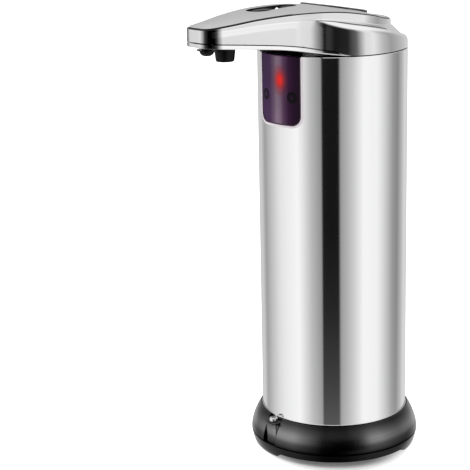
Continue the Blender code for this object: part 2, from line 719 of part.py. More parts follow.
def half_outline(inset):
    side = side_angle()
    rim = RIM_RADIUS - inset
    skirt = SKIRT_RADIUS - inset
    corner = NOSE_CORNER - inset
    fillet = FILLET_RADIUS + inset
    nose_y = NOSE_CORNER - SPOUT_REACH
    stations = []
    for x in (0.0, NOSE_FLAT / 2):
        point = (x, inset - SPOUT_REACH)
        stations.append((point, point, nose_y, 0.0, True))
    for point in arc(NOSE_FLAT, nose_y, corner, 0.0, side, NOSE_STEPS):
        stations.append((point, point, nose_y, 0.0, True))
    slide = fillet_offset()
    start = stations[-1][0]
    end = (rim * math.sin(side) - slide * math.cos(side), -rim * math.cos(side) - slide * math.sin(side))
    for i in range(1, LINE_STEPS + 1):
        share = i / LINE_STEPS
        point = (start[0] + (end[0] - start[0]) * share, start[1] + (end[1] - start[1]) * share)
        stations.append((point, point, spine_of(point, side), 0.0, True))
    meeting = side - math.atan2(slide, RIM_RADIUS + FILLET_RADIUS)
    centre_x = (SKIRT_RADIUS + FILLET_RADIUS) * math.sin(meeting)
    centre_y = -(SKIRT_RADIUS + FILLET_RADIUS) * math.cos(meeting)
    for i in range(1, FILLET_STEPS + 1):
        angle = side + (meeting - side) * i / FILLET_STEPS
        point = (centre_x - fillet * math.sin(angle), centre_y + fillet * math.cos(angle))
        polar = math.atan2(point[0], -point[1])
        inner = rim_point(rim, polar, side)
        stations.append((point, inner, spine_of(inner, side), polar, False))
    angles = [PLATE_END - 2 * PLATE_STEP]
    angles += [PLATE_END + PLATE_STEP * i for i in range(4)]
    first = angles[-1]
    angles += [first + (math.pi - first) * i / SKIRT_STEPS for i in range(1, SKIRT_STEPS + 1)]
    for polar in angles:
        point = (skirt * math.sin(polar), -skirt * math.cos(polar))
        inner = rim_point(rim, polar, side)
        spine = spine_of(inner, side) if polar < side else 0.0
        stations.append((point, inner, spine, polar, False))
    return stations


def whole_outline(inset):
    """Both halves, going once round."""
    right = half_outline(inset)
    left = []
    for (sx, sy), (rx, ry), spine, polar, on_spout in reversed(right[1:-1]):
        left.append(((-sx, sy), (-rx, ry), spine, polar, on_spout))
    return right + left


def lifted(point, height):
    return Vector((point[0], point[1], HEAD_Z + height))


# Head

def shell_bottom(station):
    if station[3] < PLATE_END + 3 * PLATE_STEP - ANGLE_SLACK:
        return plate_top(station[0][1]) + GAP
    return GAP


def shell_section(outer, wall, edge, rim, ledge):
    """Closed cross-section of the shell at one station, from its foot round to its foot."""
    bottom = shell_bottom(outer)
    top = crease(outer[1][1])
    if outer[4]:
        skirt_top = bottom + WALL_SPLIT_SHARE * (top - bottom)
        foot = bottom + WALL_SPLIT_TOP_SHARE * (top - bottom)
        towards = 0.0
    else:
        skirt_top = shoulder(outer[0][1])
        foot = max(rim_foot(outer[1][1]), skirt_top + MIN_STEP)
        gap = math.dist(outer[0], outer[1])
        towards = min(SHELL_EDGE, gap / 2) / gap
    rounded = [a + (b - a) * towards for a, b in zip(outer[0], outer[1])]
    drop = SHELL_EDGE if towards else MIN_STEP
    under_ledge = crease(ledge[1][1]) - COVER_THICKNESS - GAP - LEDGE_THICKNESS
    inner_foot = min(foot - SHELL_WALL, under_ledge - MIN_STEP)
    inner_skirt = min(skirt_top - SHELL_WALL, inner_foot - MIN_STEP)
    inner_skirt = max(inner_skirt, bottom + MIN_STEP)
    ledge_top = crease(rim[1][1]) - COVER_THICKNESS - GAP
    return [lifted(outer[0], bottom),
            lifted(outer[0], skirt_top - drop),
            lifted(rounded, skirt_top),
            lifted(outer[1], foot),
            lifted(outer[1], top - RIM_EDGE),
            lifted(edge[1], crease(edge[1][1])),
            lifted(rim[1], crease(rim[1][1])),
            lifted(rim[1], ledge_top),
            lifted(ledge[1], ledge_top),
            lifted(ledge[1], under_ledge),
            lifted(wall[1], under_ledge),
            lifted(wall[1], inner_foot),
            lifted(wall[0], inner_skirt),
            lifted(wall[0], bottom)]


def head_shell(parent):
    outlines = [whole_outline(inset)
                for inset in (0.0, SHELL_WALL, RIM_EDGE, RIM_WIDTH, LEDGE_WIDTH)]
    sections = [shell_section(*stations) for stations in zip(*outlines)]
    return make("head_shell", lofted(sections), chrome(), parent)


def cover_height(point, spine, share):
    return crease(point[1]) + crown(spine) * (1 - share * share)


def head_top_cover(parent):
    sections = []
    for station in whole_outline(RIM_WIDTH + SEAM_GAP):
        edge = station[1]
        spine = (0.0, station[2])
        section = [lifted(spine, cover_height(spine, station[2], 0.0))]
        for share in CROWN_RING_SHARES:
            point = [s + (e - s) * share for s, e in zip(spine, edge)]
            section.append(lifted(point, cover_height(point, station[2], share)))
        section.append(lifted(edge, crease(edge[1]) - COVER_THICKNESS))
        for share in COVER_UNDER_SHARES:
            point = [s + (e - s) * share for s, e in zip(spine, edge)]
            section.append(lifted(point, cover_height(point, station[2], share) - COVER_THICKNESS))
        section.append(lifted(spine, cover_height(spine, station[2], 0.0) - COVER_THICKNESS))
        sections.append(section)
    cover = make("head_top_cover", sheet(sections), satin_silver(), parent)
    cut(cover, prism(panel_outline(GAP), HEAD_Z, HEAD_Z + 2 * HEAD_RISE), "panel_opening")
    return cover


def sheet(sections):
    """Like lofted, but the sections stay open along the spine that they share."""
    shape = bmesh.new()
    rows = [[shape.verts.new(point) for point in section] for section in sections]
    strip_faces(shape, rows, closed_points=False)
    bmesh.ops.remove_doubles(shape, verts=shape.verts, dist=MERGE)
    return shape


def plate_edge_point(station, inset):
    """The underplate is flush with the spout and lies inside the skirt behind it."""
    if station[3] < PLATE_END + PLATE_STEP / 2:
        return station[0]
    radius = SKIRT_RADIUS - SHELL_WALL - GAP - inset
    return (math.copysign(radius * math.sin(station[3]), station[0][0]),
            -radius * math.cos(station[3]))


def head_underplate(parent):
    sections = []
    for station, inner in zip(whole_outline(0.0), whole_outline(PLATE_ROUND)):
        edge = plate_edge_point(station, 0.0)
        low_edge = plate_edge_point(inner, PLATE_ROUND)
        spine = (0.0, station[2])
        middle = [(s + e) / 2 for s, e in zip(spine, edge)]
        bottom = plate_bottom(edge[1])
        top = plate_top(edge[1])
        sections.append([lifted(spine, plate_top(spine[1])),
                         lifted(middle, plate_top(middle[1])),
                         lifted(edge, top),
                         lifted(edge, bottom + PLATE_ROUND),
                         lifted(low_edge, plate_bottom(low_edge[1])),
                         lifted(middle, plate_bottom(middle[1])),
                         lifted(spine, plate_bottom(spine[1]))])
    plate = make("head_underplate", sheet(sections), chrome(), parent)
    low = HEAD_Z - OVERRUN
    high = HEAD_Z + HEAD_RISE
    cut(plate, rod(NOZZLE_STEM_RADIUS + GAP, low, high), "nozzle_hole", place=(0.0, NOZZLE_Y, 0.0))
    cut(plate, rod(VALVE_STEM_RADIUS + GAP, low, high), "valve_hole", place=(0.0, VALVE_Y, 0.0))
    cut(plate, rod(SUCTION_HOLE_RADIUS, low, high), "suction_hole", place=(SUCTION_X, SUCTION_Y, 0.0))
    cut(plate, rod(LEAD_HOLE_RADIUS, low, high), "lead_hole", place=(LEAD_X, LEAD_Y, 0.0))
    for i, x in enumerate((HEAD_SCREW_X, -HEAD_SCREW_X)):
        cut(plate, rod(HEAD_SCREW_SHANK_RADIUS + GAP, low, high), f"plate_screw_hole_{i + 1}",
            place=(x, HEAD_SCREW_Y, 0.0))
    return plate


def top_frame(parent):
    """Black ring in the sleeve's mouth, open in front for the sensor board."""
    top = HEAD_Z - GAP
    bottom = top - FRAME_HEIGHT
    outer = SLEEVE_BORE - GAP
    half_gap = math.asin(FRAME_SLOT_HALF_WIDTH / outer)
    outline = arc(0.0, 0.0, outer, half_gap, 2 * math.pi - half_gap, ROUND_STEPS)
    inner_gap = math.asin(FRAME_SLOT_HALF_WIDTH / FRAME_BORE)
    outline += arc(0.0, 0.0, FRAME_BORE, 2 * math.pi - inner_gap, inner_gap, MID_STEPS)
    frame = make("top_frame", prism(outline, bottom, top), black_plastic(), parent)
    for i, x in enumerate((HEAD_SCREW_X, -HEAD_SCREW_X)):
        cut(frame, rod(HEAD_SCREW_SHANK_RADIUS + GAP, bottom - OVERRUN, top + OVERRUN),
            f"frame_screw_hole_{i + 1}", place=(x, HEAD_SCREW_Y, 0.0))
    return frame


def head_screws(parent):
    seat = HEAD_Z + plate_top(HEAD_SCREW_Y) + GAP
    for i, x in enumerate((HEAD_SCREW_X, -HEAD_SCREW_X)):
        profile = ((0.0, seat - HEAD_SCREW_LENGTH), (HEAD_SCREW_SHANK_RADIUS, seat - HEAD_SCREW_LENGTH),
                   (HEAD_SCREW_SHANK_RADIUS, seat), (HEAD_SCREW_HEAD_RADIUS, seat),
                   (HEAD_SCREW_HEAD_RADIUS, seat + HEAD_SCREW_HEAD_HEIGHT / 2),
                   (HEAD_SCREW_HEAD_RADIUS / 2, seat + HEAD_SCREW_HEAD_HEIGHT),
                   (0.0, seat + HEAD_SCREW_HEAD_HEIGHT))
        make(f"head_screw_{i + 1}", turned(profile, TINY_STEPS), screw_steel(), parent,
             (x, HEAD_SCREW_Y, 0.0))


# Fill opening, in the cap's own tilted frame: local Z = 0 is the cap's plane

def seal_span():
    """Inner and outer radius of the seal, clear of the groove's floor and of the neck."""
    return CAP_PLUG_RADIUS - CAP_GROOVE_DEPTH + GAP, NECK_BORE - GAP


def fill_cap(cap_axis):
    bottom = -CAP_DISC
    inner, outer = seal_span()
    middle = bottom - SEAL_FROM_DISC
    half = (outer - inner) / 2 + GAP
    seat = inner - GAP
    profile = ((0.0, bottom - CAP_PLUG_LENGTH), (CAP_PLUG_RADIUS, bottom - CAP_PLUG_LENGTH),
               (CAP_PLUG_RADIUS, middle - half), (seat, middle - half),
               (seat, middle + half), (CAP_PLUG_RADIUS, middle + half),
               (CAP_PLUG_RADIUS, bottom), (CAP_RADIUS, bottom),
               (CAP_RADIUS, -CAP_CHAMFER), (CAP_RADIUS - CAP_CHAMFER, 0.0),
               (CAP_RADIUS / 2, CAP_DOME * CAP_DOME_SHARE), (0.0, CAP_DOME))
    return make("fill_cap", turned(profile, MID_STEPS), satin_silver(), cap_axis)


def cap_seal(cap_axis):
    """Round ring in the plug's groove."""
    inner, outer = seal_span()
    half = (outer - inner) / 2
    section = []
    for i in range(SEAL_STEPS):
        angle = 2 * math.pi * i / SEAL_STEPS
        section.append((inner + half + half * math.cos(angle),
                        half * math.sin(angle) - CAP_DISC - SEAL_FROM_DISC))
    return make("cap_seal", turned(section, MID_STEPS), black_rubber(), cap_axis)


def fill_neck(cap_axis):
    top = -CAP_DISC - GAP
    down = (CAP_PLANE + HEAD_Z - LID_TOP) / math.cos(CAP_TILT)
    profile = ((NECK_BORE, -down - OVERRUN), (NECK_OUTER, -down - OVERRUN),
               (NECK_OUTER, top - NECK_FLANGE), (NECK_FLANGE_RADIUS, top - NECK_FLANGE),
               (NECK_FLANGE_RADIUS, top), (NECK_BORE, top))
    neck = make("fill_neck", turned(profile, MID_STEPS), milky_plastic(), cap_axis)
    size = 2 * SLEEVE_RADIUS
    floor = LID_TOP + GAP
    below = block((-size, -size, floor - size), (size, size, floor))
    cut(neck, below, "neck_trim", parent=cap_axis.parent)
    return neck


def open_for_neck(cover, plate, cap_axis):
    """Round seat in the cover and a clear hole in the underplate, on the cap's axis."""
    cut(cover, rod(CAP_RADIUS + GAP, -CAP_DISC - GAP, OVERRUN, MID_STEPS), "cap_seat", cap_axis)
    cut(plate, rod(NECK_OUTER + GAP, -HEAD_RISE - OVERRUN, -OVERRUN, MID_STEPS), "neck_hole",
        cap_axis)


# Button inlay

def panel_outline(grow):
    """Egg shape: two round ends joined by straight sides."""
    front = PANEL_FRONT_RADIUS + grow
    rear = PANEL_REAR_RADIUS + grow
    front_y = PANEL_FRONT_Y + PANEL_FRONT_RADIUS
    rear_y = PANEL_REAR_Y - PANEL_REAR_RADIUS
    lean = math.acos((PANEL_REAR_RADIUS - PANEL_FRONT_RADIUS) / (rear_y - front_y))
    half = SMALL_STEPS // 2
    points = arc(0.0, front_y, front, -lean, lean, half)
    points += arc(0.0, rear_y, rear, lean, 2 * math.pi - lean, half)
    return points


def button_panel(parent):
    panel = make("button_panel", prism(panel_outline(0.0), HEAD_Z + PANEL_FLANGE_Z, HEAD_Z + PANEL_TOP),
                 black_plastic(), parent)
    join(panel, prism(panel_outline(PANEL_FLANGE_WIDTH), HEAD_Z + PANEL_FLANGE_Z,
                      HEAD_Z + PANEL_FLANGE_TOP), "panel_flange")
    cut(panel, prism(panel_outline(-PANEL_WALL), HEAD_Z + PANEL_FLANGE_Z - OVERRUN,
                     HEAD_Z + PANEL_PLATE_Z), "panel_cavity")
    high = HEAD_Z + PANEL_TOP + OVERRUN
    low = HEAD_Z + PANEL_FLANGE_Z
    for name, y, length, width in button_places():
        cut(panel, prism(ellipse(width + GAP, length + GAP, y), low, high), f"{name}_hole")
    cut(panel, rod(LENS_RADIUS + GAP, low, high, TINY_STEPS), "lens_hole", place=(0.0, LENS_Y, 0.0))
    return panel


def panel_half_width(y):
    """Between the middles of the panel's round ends, where it narrows evenly."""
    front_y = PANEL_FRONT_Y + PANEL_FRONT_RADIUS
    rear_y = PANEL_REAR_Y - PANEL_REAR_RADIUS
    share = min(max((y - front_y) / (rear_y - front_y), 0.0), 1.0)
    return PANEL_FRONT_RADIUS + (PANEL_REAR_RADIUS - PANEL_FRONT_RADIUS) * share


def button_places():
    return (("power_button", POWER_BUTTON_Y, POWER_BUTTON_LENGTH,
             panel_half_width(POWER_BUTTON_Y) - POWER_SIDE_MARGIN),
            ("amount_button", AMOUNT_BUTTON_Y, AMOUNT_BUTTON_LENGTH,
             panel_half_width(AMOUNT_BUTTON_Y) - AMOUNT_SIDE_MARGIN))


def button(name, y, length, width, top, parent):
    """Oval cap with a crowned top, a flange under the panel's plate and a stem to its switch."""
    flange_top = HEAD_Z + BUTTON_FLANGE_TOP
    flange_bottom = flange_top - BUTTON_FLANGE
    stem_bottom = HEAD_Z + SWITCH_TOP + BUTTON_TRAVEL + GAP
    crown_z = HEAD_Z + top
    grow = BUTTON_FLANGE_WIDTH
    levels = [(BUTTON_STEM_RADIUS, BUTTON_STEM_RADIUS, stem_bottom),
              (BUTTON_STEM_RADIUS, BUTTON_STEM_RADIUS, flange_bottom),
              (width + grow, length + grow, flange_bottom), (width + grow, length + grow, flange_top),
              (width, length, flange_top)]
    for share, drop_share in BUTTON_CROWN_SHARES:
        levels.append((width * share, length * share, crown_z - BUTTON_CROWN * drop_share))
    shape = bmesh.new()
    rings = []
    for half_x, half_y, z in levels:
        rings.append([shape.verts.new((px, py, z - flange_top)) for px, py in ellipse(half_x, half_y)])
    strip_faces(shape, rings, closed_rows=False)
    shape.faces.new(rings[0])
    peak = shape.verts.new((0.0, 0.0, crown_z - flange_top))
    last = rings[-1]
    for i in range(len(last)):
        shape.faces.new((last[i], last[(i + 1) % len(last)], peak))
    return make(name, shape, black_plastic(), parent, (0.0, y, flange_top))


def buttons(parent):
    heights = (POWER_BUTTON_PROUD, AMOUNT_BUTTON_PROUD)
    for (name, y, length, width), proud in zip(button_places(), heights):
        button(name, y, length, width, PANEL_TOP + proud, parent)


def status_lens(parent):
    bottom = HEAD_Z + BUTTON_BOARD_TOP + GAP
    top = HEAD_Z + PANEL_TOP + LENS_PROUD
    profile = ((0.0, bottom), (LENS_RADIUS, bottom), (LENS_RADIUS, top - LENS_RADIUS / 2),
               (LENS_RADIUS * DOME_SHARE, top - LENS_RADIUS * DOME_DROP_SHARE / 2), (0.0, top))
    return make("status_lens", turned(profile, TINY_STEPS), lens_white(), parent, (0.0, LENS_Y, 0.0))


def button_board(parent):
    top = HEAD_Z + BUTTON_BOARD_TOP
    low = (-BUTTON_BOARD_HALF_WIDTH, PANEL_FRONT_Y, top - BOARD_THICKNESS)
    high = (BUTTON_BOARD_HALF_WIDTH, PANEL_REAR_Y, top)
    return make("button_board", block(low, high), board_green(), parent)


def switches(parent):
    bottom = HEAD_Z + BUTTON_BOARD_TOP + GAP
    half = SWITCH_SIZE / 2
    for name, y in (("power_switch", POWER_BUTTON_Y), ("amount_switch", AMOUNT_BUTTON_Y)):
        make(name, block((-half, -half, 0.0), (half, half, SWITCH_HEIGHT)), contact_metal(), parent,
             (0.0, y, bottom))


# Spout outlet

def nozzle(parent):
    """Half-dome and flat lip below the plate, stem through it and a collar above it."""
    low_seat = HEAD_Z + plate_bottom(NOZZLE_Y + NOZZLE_LIP_RADIUS) - GAP
    dome_top = low_seat - NOZZLE_LIP
    top_seat = HEAD_Z + plate_top(NOZZLE_Y - NOZZLE_FLANGE_RADIUS) + GAP
    tip = dome_top - NOZZLE_DROP
    profile = [(NOZZLE_BORE, top_seat + NOZZLE_FLANGE), (NOZZLE_BORE, tip + NOZZLE_BORE / 4)]
    for i in range(1, NOZZLE_STEPS + 1):
        angle = math.pi / 2 * i / NOZZLE_STEPS
        profile.append((NOZZLE_BORE + (NOZZLE_RADIUS - NOZZLE_BORE) * math.sin(angle),
                        dome_top - NOZZLE_DROP * math.cos(angle)))
    profile += [(NOZZLE_LIP_RADIUS, dome_top), (NOZZLE_LIP_RADIUS, low_seat),
                (NOZZLE_STEM_RADIUS, low_seat), (NOZZLE_STEM_RADIUS, top_seat),
                (NOZZLE_FLANGE_RADIUS, top_seat), (NOZZLE_FLANGE_RADIUS, top_seat + NOZZLE_FLANGE)]
    return make("nozzle", turned(profile, SMALL_STEPS), black_rubber(), parent, (0.0, NOZZLE_Y, 0.0))


def valve_cup(parent):
    """Tapered plug under the spout, with its collar above the plate."""
    low_seat = HEAD_Z + plate_bottom(VALVE_Y + VALVE_TOP_RADIUS) - GAP
    top_seat = HEAD_Z + plate_top(VALVE_Y - VALVE_FLANGE_RADIUS) + GAP
    bottom = low_seat - VALVE_DROP
    top = top_seat + VALVE_FLANGE
    profile = ((0.0, bottom), (VALVE_BOTTOM_RADIUS - VALVE_CHAMFER, bottom),
               (VALVE_BOTTOM_RADIUS, bottom + VALVE_CHAMFER), (VALVE_TOP_RADIUS, low_seat),
               (VALVE_STEM_RADIUS, low_seat), (VALVE_STEM_RADIUS, top_seat),
               (VALVE_FLANGE_RADIUS, top_seat), (VALVE_FLANGE_RADIUS, top), (0.0, top))
    return make("valve_cup", turned(profile, SMALL_STEPS), black_rubber(), parent, (0.0, VALVE_Y, 0.0))


# Gear train

def gear_outline(teeth, module, phase):
    """Teeth with straight flanks; phase turns the first tooth, as a share of a pitch."""
    outer = module * (teeth / 2 + ADDENDUM_SHARE)
    root = module * (teeth / 2 - DEDENDUM_SHARE)
    pitch = 2 * math.pi / teeth
    corners = ((-TOOTH_ROOT_SHARE, root), (-TOOTH_TIP_SHARE, outer), (TOOTH_TIP_SHARE, outer),
               (TOOTH_ROOT_SHARE, root))
    points = []
    for i in range(teeth):
        for share, radius in corners:
            angle = pitch * (i + phase + share)
            points.append((radius * math.cos(angle), radius * math.sin(angle)))
    return points


def facing_spout(shape):
    """Turn a solid made along +Z so that it lies along -Y."""
    bmesh.ops.rotate(shape, verts=shape.verts, matrix=Matrix.Rotation(math.pi / 2, 3, "X"))
    return shape


def gear(name, teeth, module, phase, rear, front, finish, parent, centre, bore=0.0):
    """Spur gear between two places on its axis, counted towards -Y."""
    shape = facing_spout(prism(gear_outline(teeth, module, phase), 0.0, rear - front))
    made = make(name, shape, finish, parent, (centre[0], rear, centre[1]))
    if bore:
        cut(made, rod(bore, -OVERRUN, rear - front + OVERRUN, TINY_STEPS, "Y"), f"{name}_bore")
        bpy.data.objects[f"{name}_bore"].location = made.location
    return made


def motor(parent):
    half = MOTOR_WIDTH / 2
    flat = MOTOR_HEIGHT / 2
    lean = math.asin(flat / half)
    outline = []
    for start in (-lean, math.pi - lean):
        for i in range(SMALL_STEPS // 4 + 1):
            angle = start + 2 * lean * i / (SMALL_STEPS // 4)
            outline.append((half * math.cos(angle), half * math.sin(angle)))
    body = make("motor", facing_spout(prism(outline, 0.0, MOTOR_LENGTH)), motor_can(), parent,
                (MOTOR_X, MOTOR_REAR_Y, TRAIN_Z))
    place = (MOTOR_X, MOTOR_REAR_Y, TRAIN_Z)
    boss_end = MOTOR_LENGTH + MOTOR_BOSS_LENGTH
    join(body, rod(MOTOR_BOSS_RADIUS, MOTOR_LENGTH / 2, boss_end, SMALL_STEPS, "Y"), "motor_boss",
         place=place)
    join(body, rod(MOTOR_SHAFT_RADIUS, MOTOR_LENGTH / 2, boss_end + GAP + WHEEL_WIDTH, TINY_STEPS, "Y"),
         "motor_shaft", place=place)
    return body


def gear_train(parent):
    """Pinion, wheel and the two pump gears, each with its origin on its own axis."""
    gear("motor_pinion", PINION_TEETH, TRAIN_MODULE, 0.0, WHEEL_REAR_Y, WHEEL_FRONT_Y, brass(),
         parent, (MOTOR_X, TRAIN_Z), MOTOR_SHAFT_RADIUS + GAP)
    gear("reduction_wheel", WHEEL_TEETH, TRAIN_MODULE, TOOTH_GAP_SHARE, WHEEL_REAR_Y, WHEEL_FRONT_Y,
         white_acetal(), parent, (DRIVE_X, TRAIN_Z), SHAFT_RADIUS + GAP)
    gear_rear = CAVITY_REAR_Y - GAP
    gear_front = gear_rear - PUMP_GEAR_WIDTH
    drive = gear("pump_drive_gear", PUMP_TEETH, PUMP_MODULE, 0.0, gear_rear, gear_front,
                 white_acetal(), parent, (DRIVE_X, TRAIN_Z))
    join(drive, rod(SHAFT_RADIUS, gear_rear - WHEEL_REAR_Y, PUMP_GEAR_WIDTH / 2, TINY_STEPS, "Y"),
         "drive_shaft", place=drive.location)
    gear("pump_idler_gear", PUMP_TEETH, PUMP_MODULE, TOOTH_GAP_SHARE, gear_rear, gear_front,
         white_acetal(), parent, (IDLER_X, TRAIN_Z), SHAFT_RADIUS + GAP)


def cavity_outline():
    """Two rounds that overlap, one for each pump gear, drawn as one outline."""
    meet = math.asin(PUMP_GEAR_RADIUS / PUMP_CAVITY_RADIUS)
    drive_side = arc(DRIVE_X, 0.0, PUMP_CAVITY_RADIUS, math.pi - meet, 2 * math.pi + meet, SMALL_STEPS)
    idler_side = arc(IDLER_X, 0.0, PUMP_CAVITY_RADIUS, -meet, math.pi + meet, SMALL_STEPS)
    return drive_side[:-1] + idler_side[:-1]


def pump_housing(parent):
    half = PUMP_BLOCK_HALF_WIDTH
    bottom = TRAIN_Z - PUMP_BLOCK_HEIGHT / 2
    housing = make("pump_housing", block((BLOCK_X - half, BLOCK_FRONT_Y, bottom),
                                         (BLOCK_X + half, BLOCK_REAR_Y, bottom + PUMP_BLOCK_HEIGHT)),
                   white_acetal(), parent)
    depth = CAVITY_REAR_Y - BLOCK_FRONT_Y
    cut(housing, facing_spout(prism(cavity_outline(), 0.0, depth + OVERRUN)), "gear_cavity",
        place=(0.0, CAVITY_REAR_Y, TRAIN_Z))
    join(housing, rod(SHAFT_RADIUS, -PUMP_REAR_WALL / 2, GAP + PUMP_GEAR_WIDTH, TINY_STEPS, "Y"),
         "idler_pin", place=(IDLER_X, CAVITY_REAR_Y, TRAIN_Z))
    cut(housing, rod(SHAFT_RADIUS + GAP, -PUMP_REAR_WALL - OVERRUN, OVERRUN, TINY_STEPS, "Y"),
        "shaft_hole", place=(DRIVE_X, CAVITY_REAR_Y, TRAIN_Z))
    place = (inlet_x(), BLOCK_REAR_Y, inlet_z())
    join(housing, rod(PORT_RADIUS, -PORT_LENGTH, PUMP_REAR_WALL / 2, TINY_STEPS, "Y"), "inlet_port",
         place=place)
    cut(housing, rod(PORT_BORE, -PORT_LENGTH - OVERRUN, PUMP_REAR_WALL + OVERRUN / 2, TINY_STEPS, "Y"),
        "inlet_bore", place=place)
    return housing


def inlet_x():
    return BLOCK_X + PUMP_BLOCK_HALF_WIDTH - PORT_RADIUS - GAP


def inlet_z():
    return TRAIN_Z - PUMP_BLOCK_HEIGHT / 2 + PORT_RADIUS + GAP


def pump_cover(parent):
    half = PUMP_BLOCK_HALF_WIDTH
    bottom = TRAIN_Z - PUMP_BLOCK_HEIGHT / 2
    cover = make("pump_cover", block((BLOCK_X - half, PUMP_COVER_FRONT_Y, bottom),
                                     (BLOCK_X + half, PUMP_COVER_REAR_Y, bottom + PUMP_BLOCK_HEIGHT)),
                 white_acetal(), parent)
    place = (BLOCK_X, PUMP_COVER_FRONT_Y, TRAIN_Z)
    join(cover, rod(PORT_RADIUS, -PUMP_COVER_THICKNESS / 2, PORT_LENGTH, TINY_STEPS, "Y"), "outlet_port",
         place=place)
    cut(cover, rod(PORT_BORE, -PUMP_COVER_THICKNESS - OVERRUN, PORT_LENGTH + OVERRUN, TINY_STEPS, "Y"),
        "outlet_bore", place=place)
    return cover


# Hoses and lead

def heading(corners, i):
    """Direction of a route at one of its own points."""
    into = (corners[i] - corners[i - 1]).normalized() if i else Vector()
    out_of = (corners[i + 1] - corners[i]).normalized() if i + 1 < len(corners) else Vector()
    return (into + out_of).normalized()


def smooth_route(corners, spacing):
    """Points on a smooth curve through the route's own points."""
    points = []
    for i in range(len(corners) - 1):
        start, end = corners[i], corners[i + 1]
        length = (end - start).length
        lead_in = heading(corners, i) * length
        lead_out = heading(corners, i + 1) * length
        turning = heading(corners, i).angle(heading(corners, i + 1)) > STRAIGHT_ANGLE
        steps = max(round(length / spacing), MIN_ROUTE_STEPS) if turning else 1
        for k in range(steps):
            t = k / steps
            points.append(start * (2 * t ** 3 - 3 * t ** 2 + 1) + lead_in * (t ** 3 - 2 * t ** 2 + t)
                          + end * (3 * t ** 2 - 2 * t ** 3) + lead_out * (t ** 3 - t ** 2))
    points.append(corners[-1])
    return points


def tube(name, corners, radius, finish, parent, spacing, resolution=2):
    """A curve with a round bevel and filled caps."""
    curve = bpy.data.curves.new(name, "CURVE")
    curve.dimensions = "3D"
    curve.bevel_depth = radius
    curve.bevel_resolution = resolution
    curve.use_fill_caps = True
    curve.render_resolution_u = 0
    curve.materials.append(finish)
    points = smooth_route([Vector(corner) for corner in corners], spacing)
    spline = curve.splines.new("POLY")
    spline.points.add(len(points) - 1)
    for target, point in zip(spline.points, points):
        target.co = (*point, 1.0)
    made = bpy.data.objects.new(name, curve)
    made.parent = parent
    bpy.context.scene.collection.objects.link(made)
    return made


def outlet_tube(parent):
    start = PUMP_COVER_FRONT_Y - PORT_LENGTH - GAP
    end = HEAD_Z + plate_top(NOZZLE_Y - NOZZLE_FLANGE_RADIUS) + NOZZLE_FLANGE + 2 * GAP
    raised = end + HOSE_BEND
    corners = ((BLOCK_X, start, TRAIN_Z), (BLOCK_X, start - HOSE_BEND, TRAIN_Z),
               (0.0, NOZZLE_Y + 3 * HOSE_BEND, raised), (0.0, NOZZLE_Y + HOSE_BEND, raised),
               (0.0, NOZZLE_Y, end + HOSE_RADIUS / 2), (0.0, NOZZLE_Y, end))
    return tube("outlet_tube", corners, OUTLET_HOSE_RADIUS, clear_silicone(), parent, HOSE_BEND)


def suction_tube(parent):
    start_y = BLOCK_REAR_Y + PORT_LENGTH + GAP
    x = inlet_x()
    z = inlet_z()
    bottom = TANK_Z + TANK_WALL + SUCTION_CLEARANCE
    corners = ((x, start_y, z), (x, start_y + HOSE_RADIUS, z),
               (SUCTION_X - HOSE_RADIUS, SUCTION_Y - HOSE_BEND, z),
               (SUCTION_X, SUCTION_Y, z - HOSE_DROP), (SUCTION_X, SUCTION_Y, z - 2 * HOSE_DROP),
               (SUCTION_X, SUCTION_Y, bottom))
    return tube("suction_tube", corners, HOSE_RADIUS, clear_silicone(), parent, HOSE_BEND)


def wire_lead(parent):
    """Lead from the battery holder up the tank's flat front to the motor's rear."""
    low = HOLDER_TOP - LEAD_BEND
    start = Vector((LEAD_X, LEAD_Y, 0.0)).normalized() * (HOLDER_RADIUS + GAP)
    beside = MOTOR_X - MOTOR_WIDTH / 2 - 2 * LEAD_RADIUS
    behind = MOTOR_REAR_Y + 3 * LEAD_RADIUS
    corners = ((start.x, start.y, low), (LEAD_X, LEAD_Y, low + LEAD_BEND),
               (LEAD_X, LEAD_Y, low + 2 * LEAD_BEND), (LEAD_X, LEAD_Y, HEAD_Z - LEAD_BEND / 2),
               (LEAD_X, LEAD_Y, HEAD_Z + LEAD_BEND / 2),
               (beside, LEAD_Y + LEAD_BEND, TRAIN_Z - LEAD_BEND / 2), (beside, MOTOR_REAR_Y, TRAIN_Z),
               (MOTOR_X - LEAD_BEND / 2, behind, TRAIN_Z), (MOTOR_X, behind - LEAD_RADIUS, TRAIN_Z),
               (MOTOR_X, MOTOR_REAR_Y + GAP, TRAIN_Z))
    return tube("wire_lead", corners, LEAD_RADIUS, black_rubber(), parent, LEAD_BEND, 1)


# Sleeve and what it holds

def outer_sleeve(parent):
    profile = ((SLEEVE_BORE, SLEEVE_Z), (SLEEVE_RADIUS, SLEEVE_Z), (SLEEVE_RADIUS, HEAD_Z),
               (SLEEVE_BORE, HEAD_Z))
    sleeve = make("outer_sleeve", turned(profile, ROUND_STEPS), polished_steel(), parent)
    cut(sleeve, window_block(0.0, OVERRUN), "window_opening")
    return sleeve


def window_outline(inset):
    """Upright outline of the window, as (x, height below the sleeve's top)."""
    half = WINDOW_HALF_WIDTH - inset
    corner = WINDOW_CORNER - inset
    bottom = inset - WINDOW_HEIGHT
    points = []
    for side, start in ((-1, -math.pi / 2), (1, 0.0)):
        for x, z in arc(side * (half - corner), bottom + corner, corner, start, start + math.pi / 2,
                        WINDOW_CORNER_STEPS):
            points.append((x, z))
    return points, half


def window_block(inset, top):
    """Solid through the sleeve's front with the window's outline."""
    points, half = window_outline(inset)
    points = points + [(half, top), (-half, top)]
    shape = prism(points, 0.0, 2 * SLEEVE_RADIUS)
    bmesh.ops.rotate(shape, verts=shape.verts, matrix=Matrix.Rotation(math.pi / 2, 3, "X"))
    bmesh.ops.translate(shape, verts=shape.verts, vec=(0.0, 0.0, HEAD_Z))
    return shape


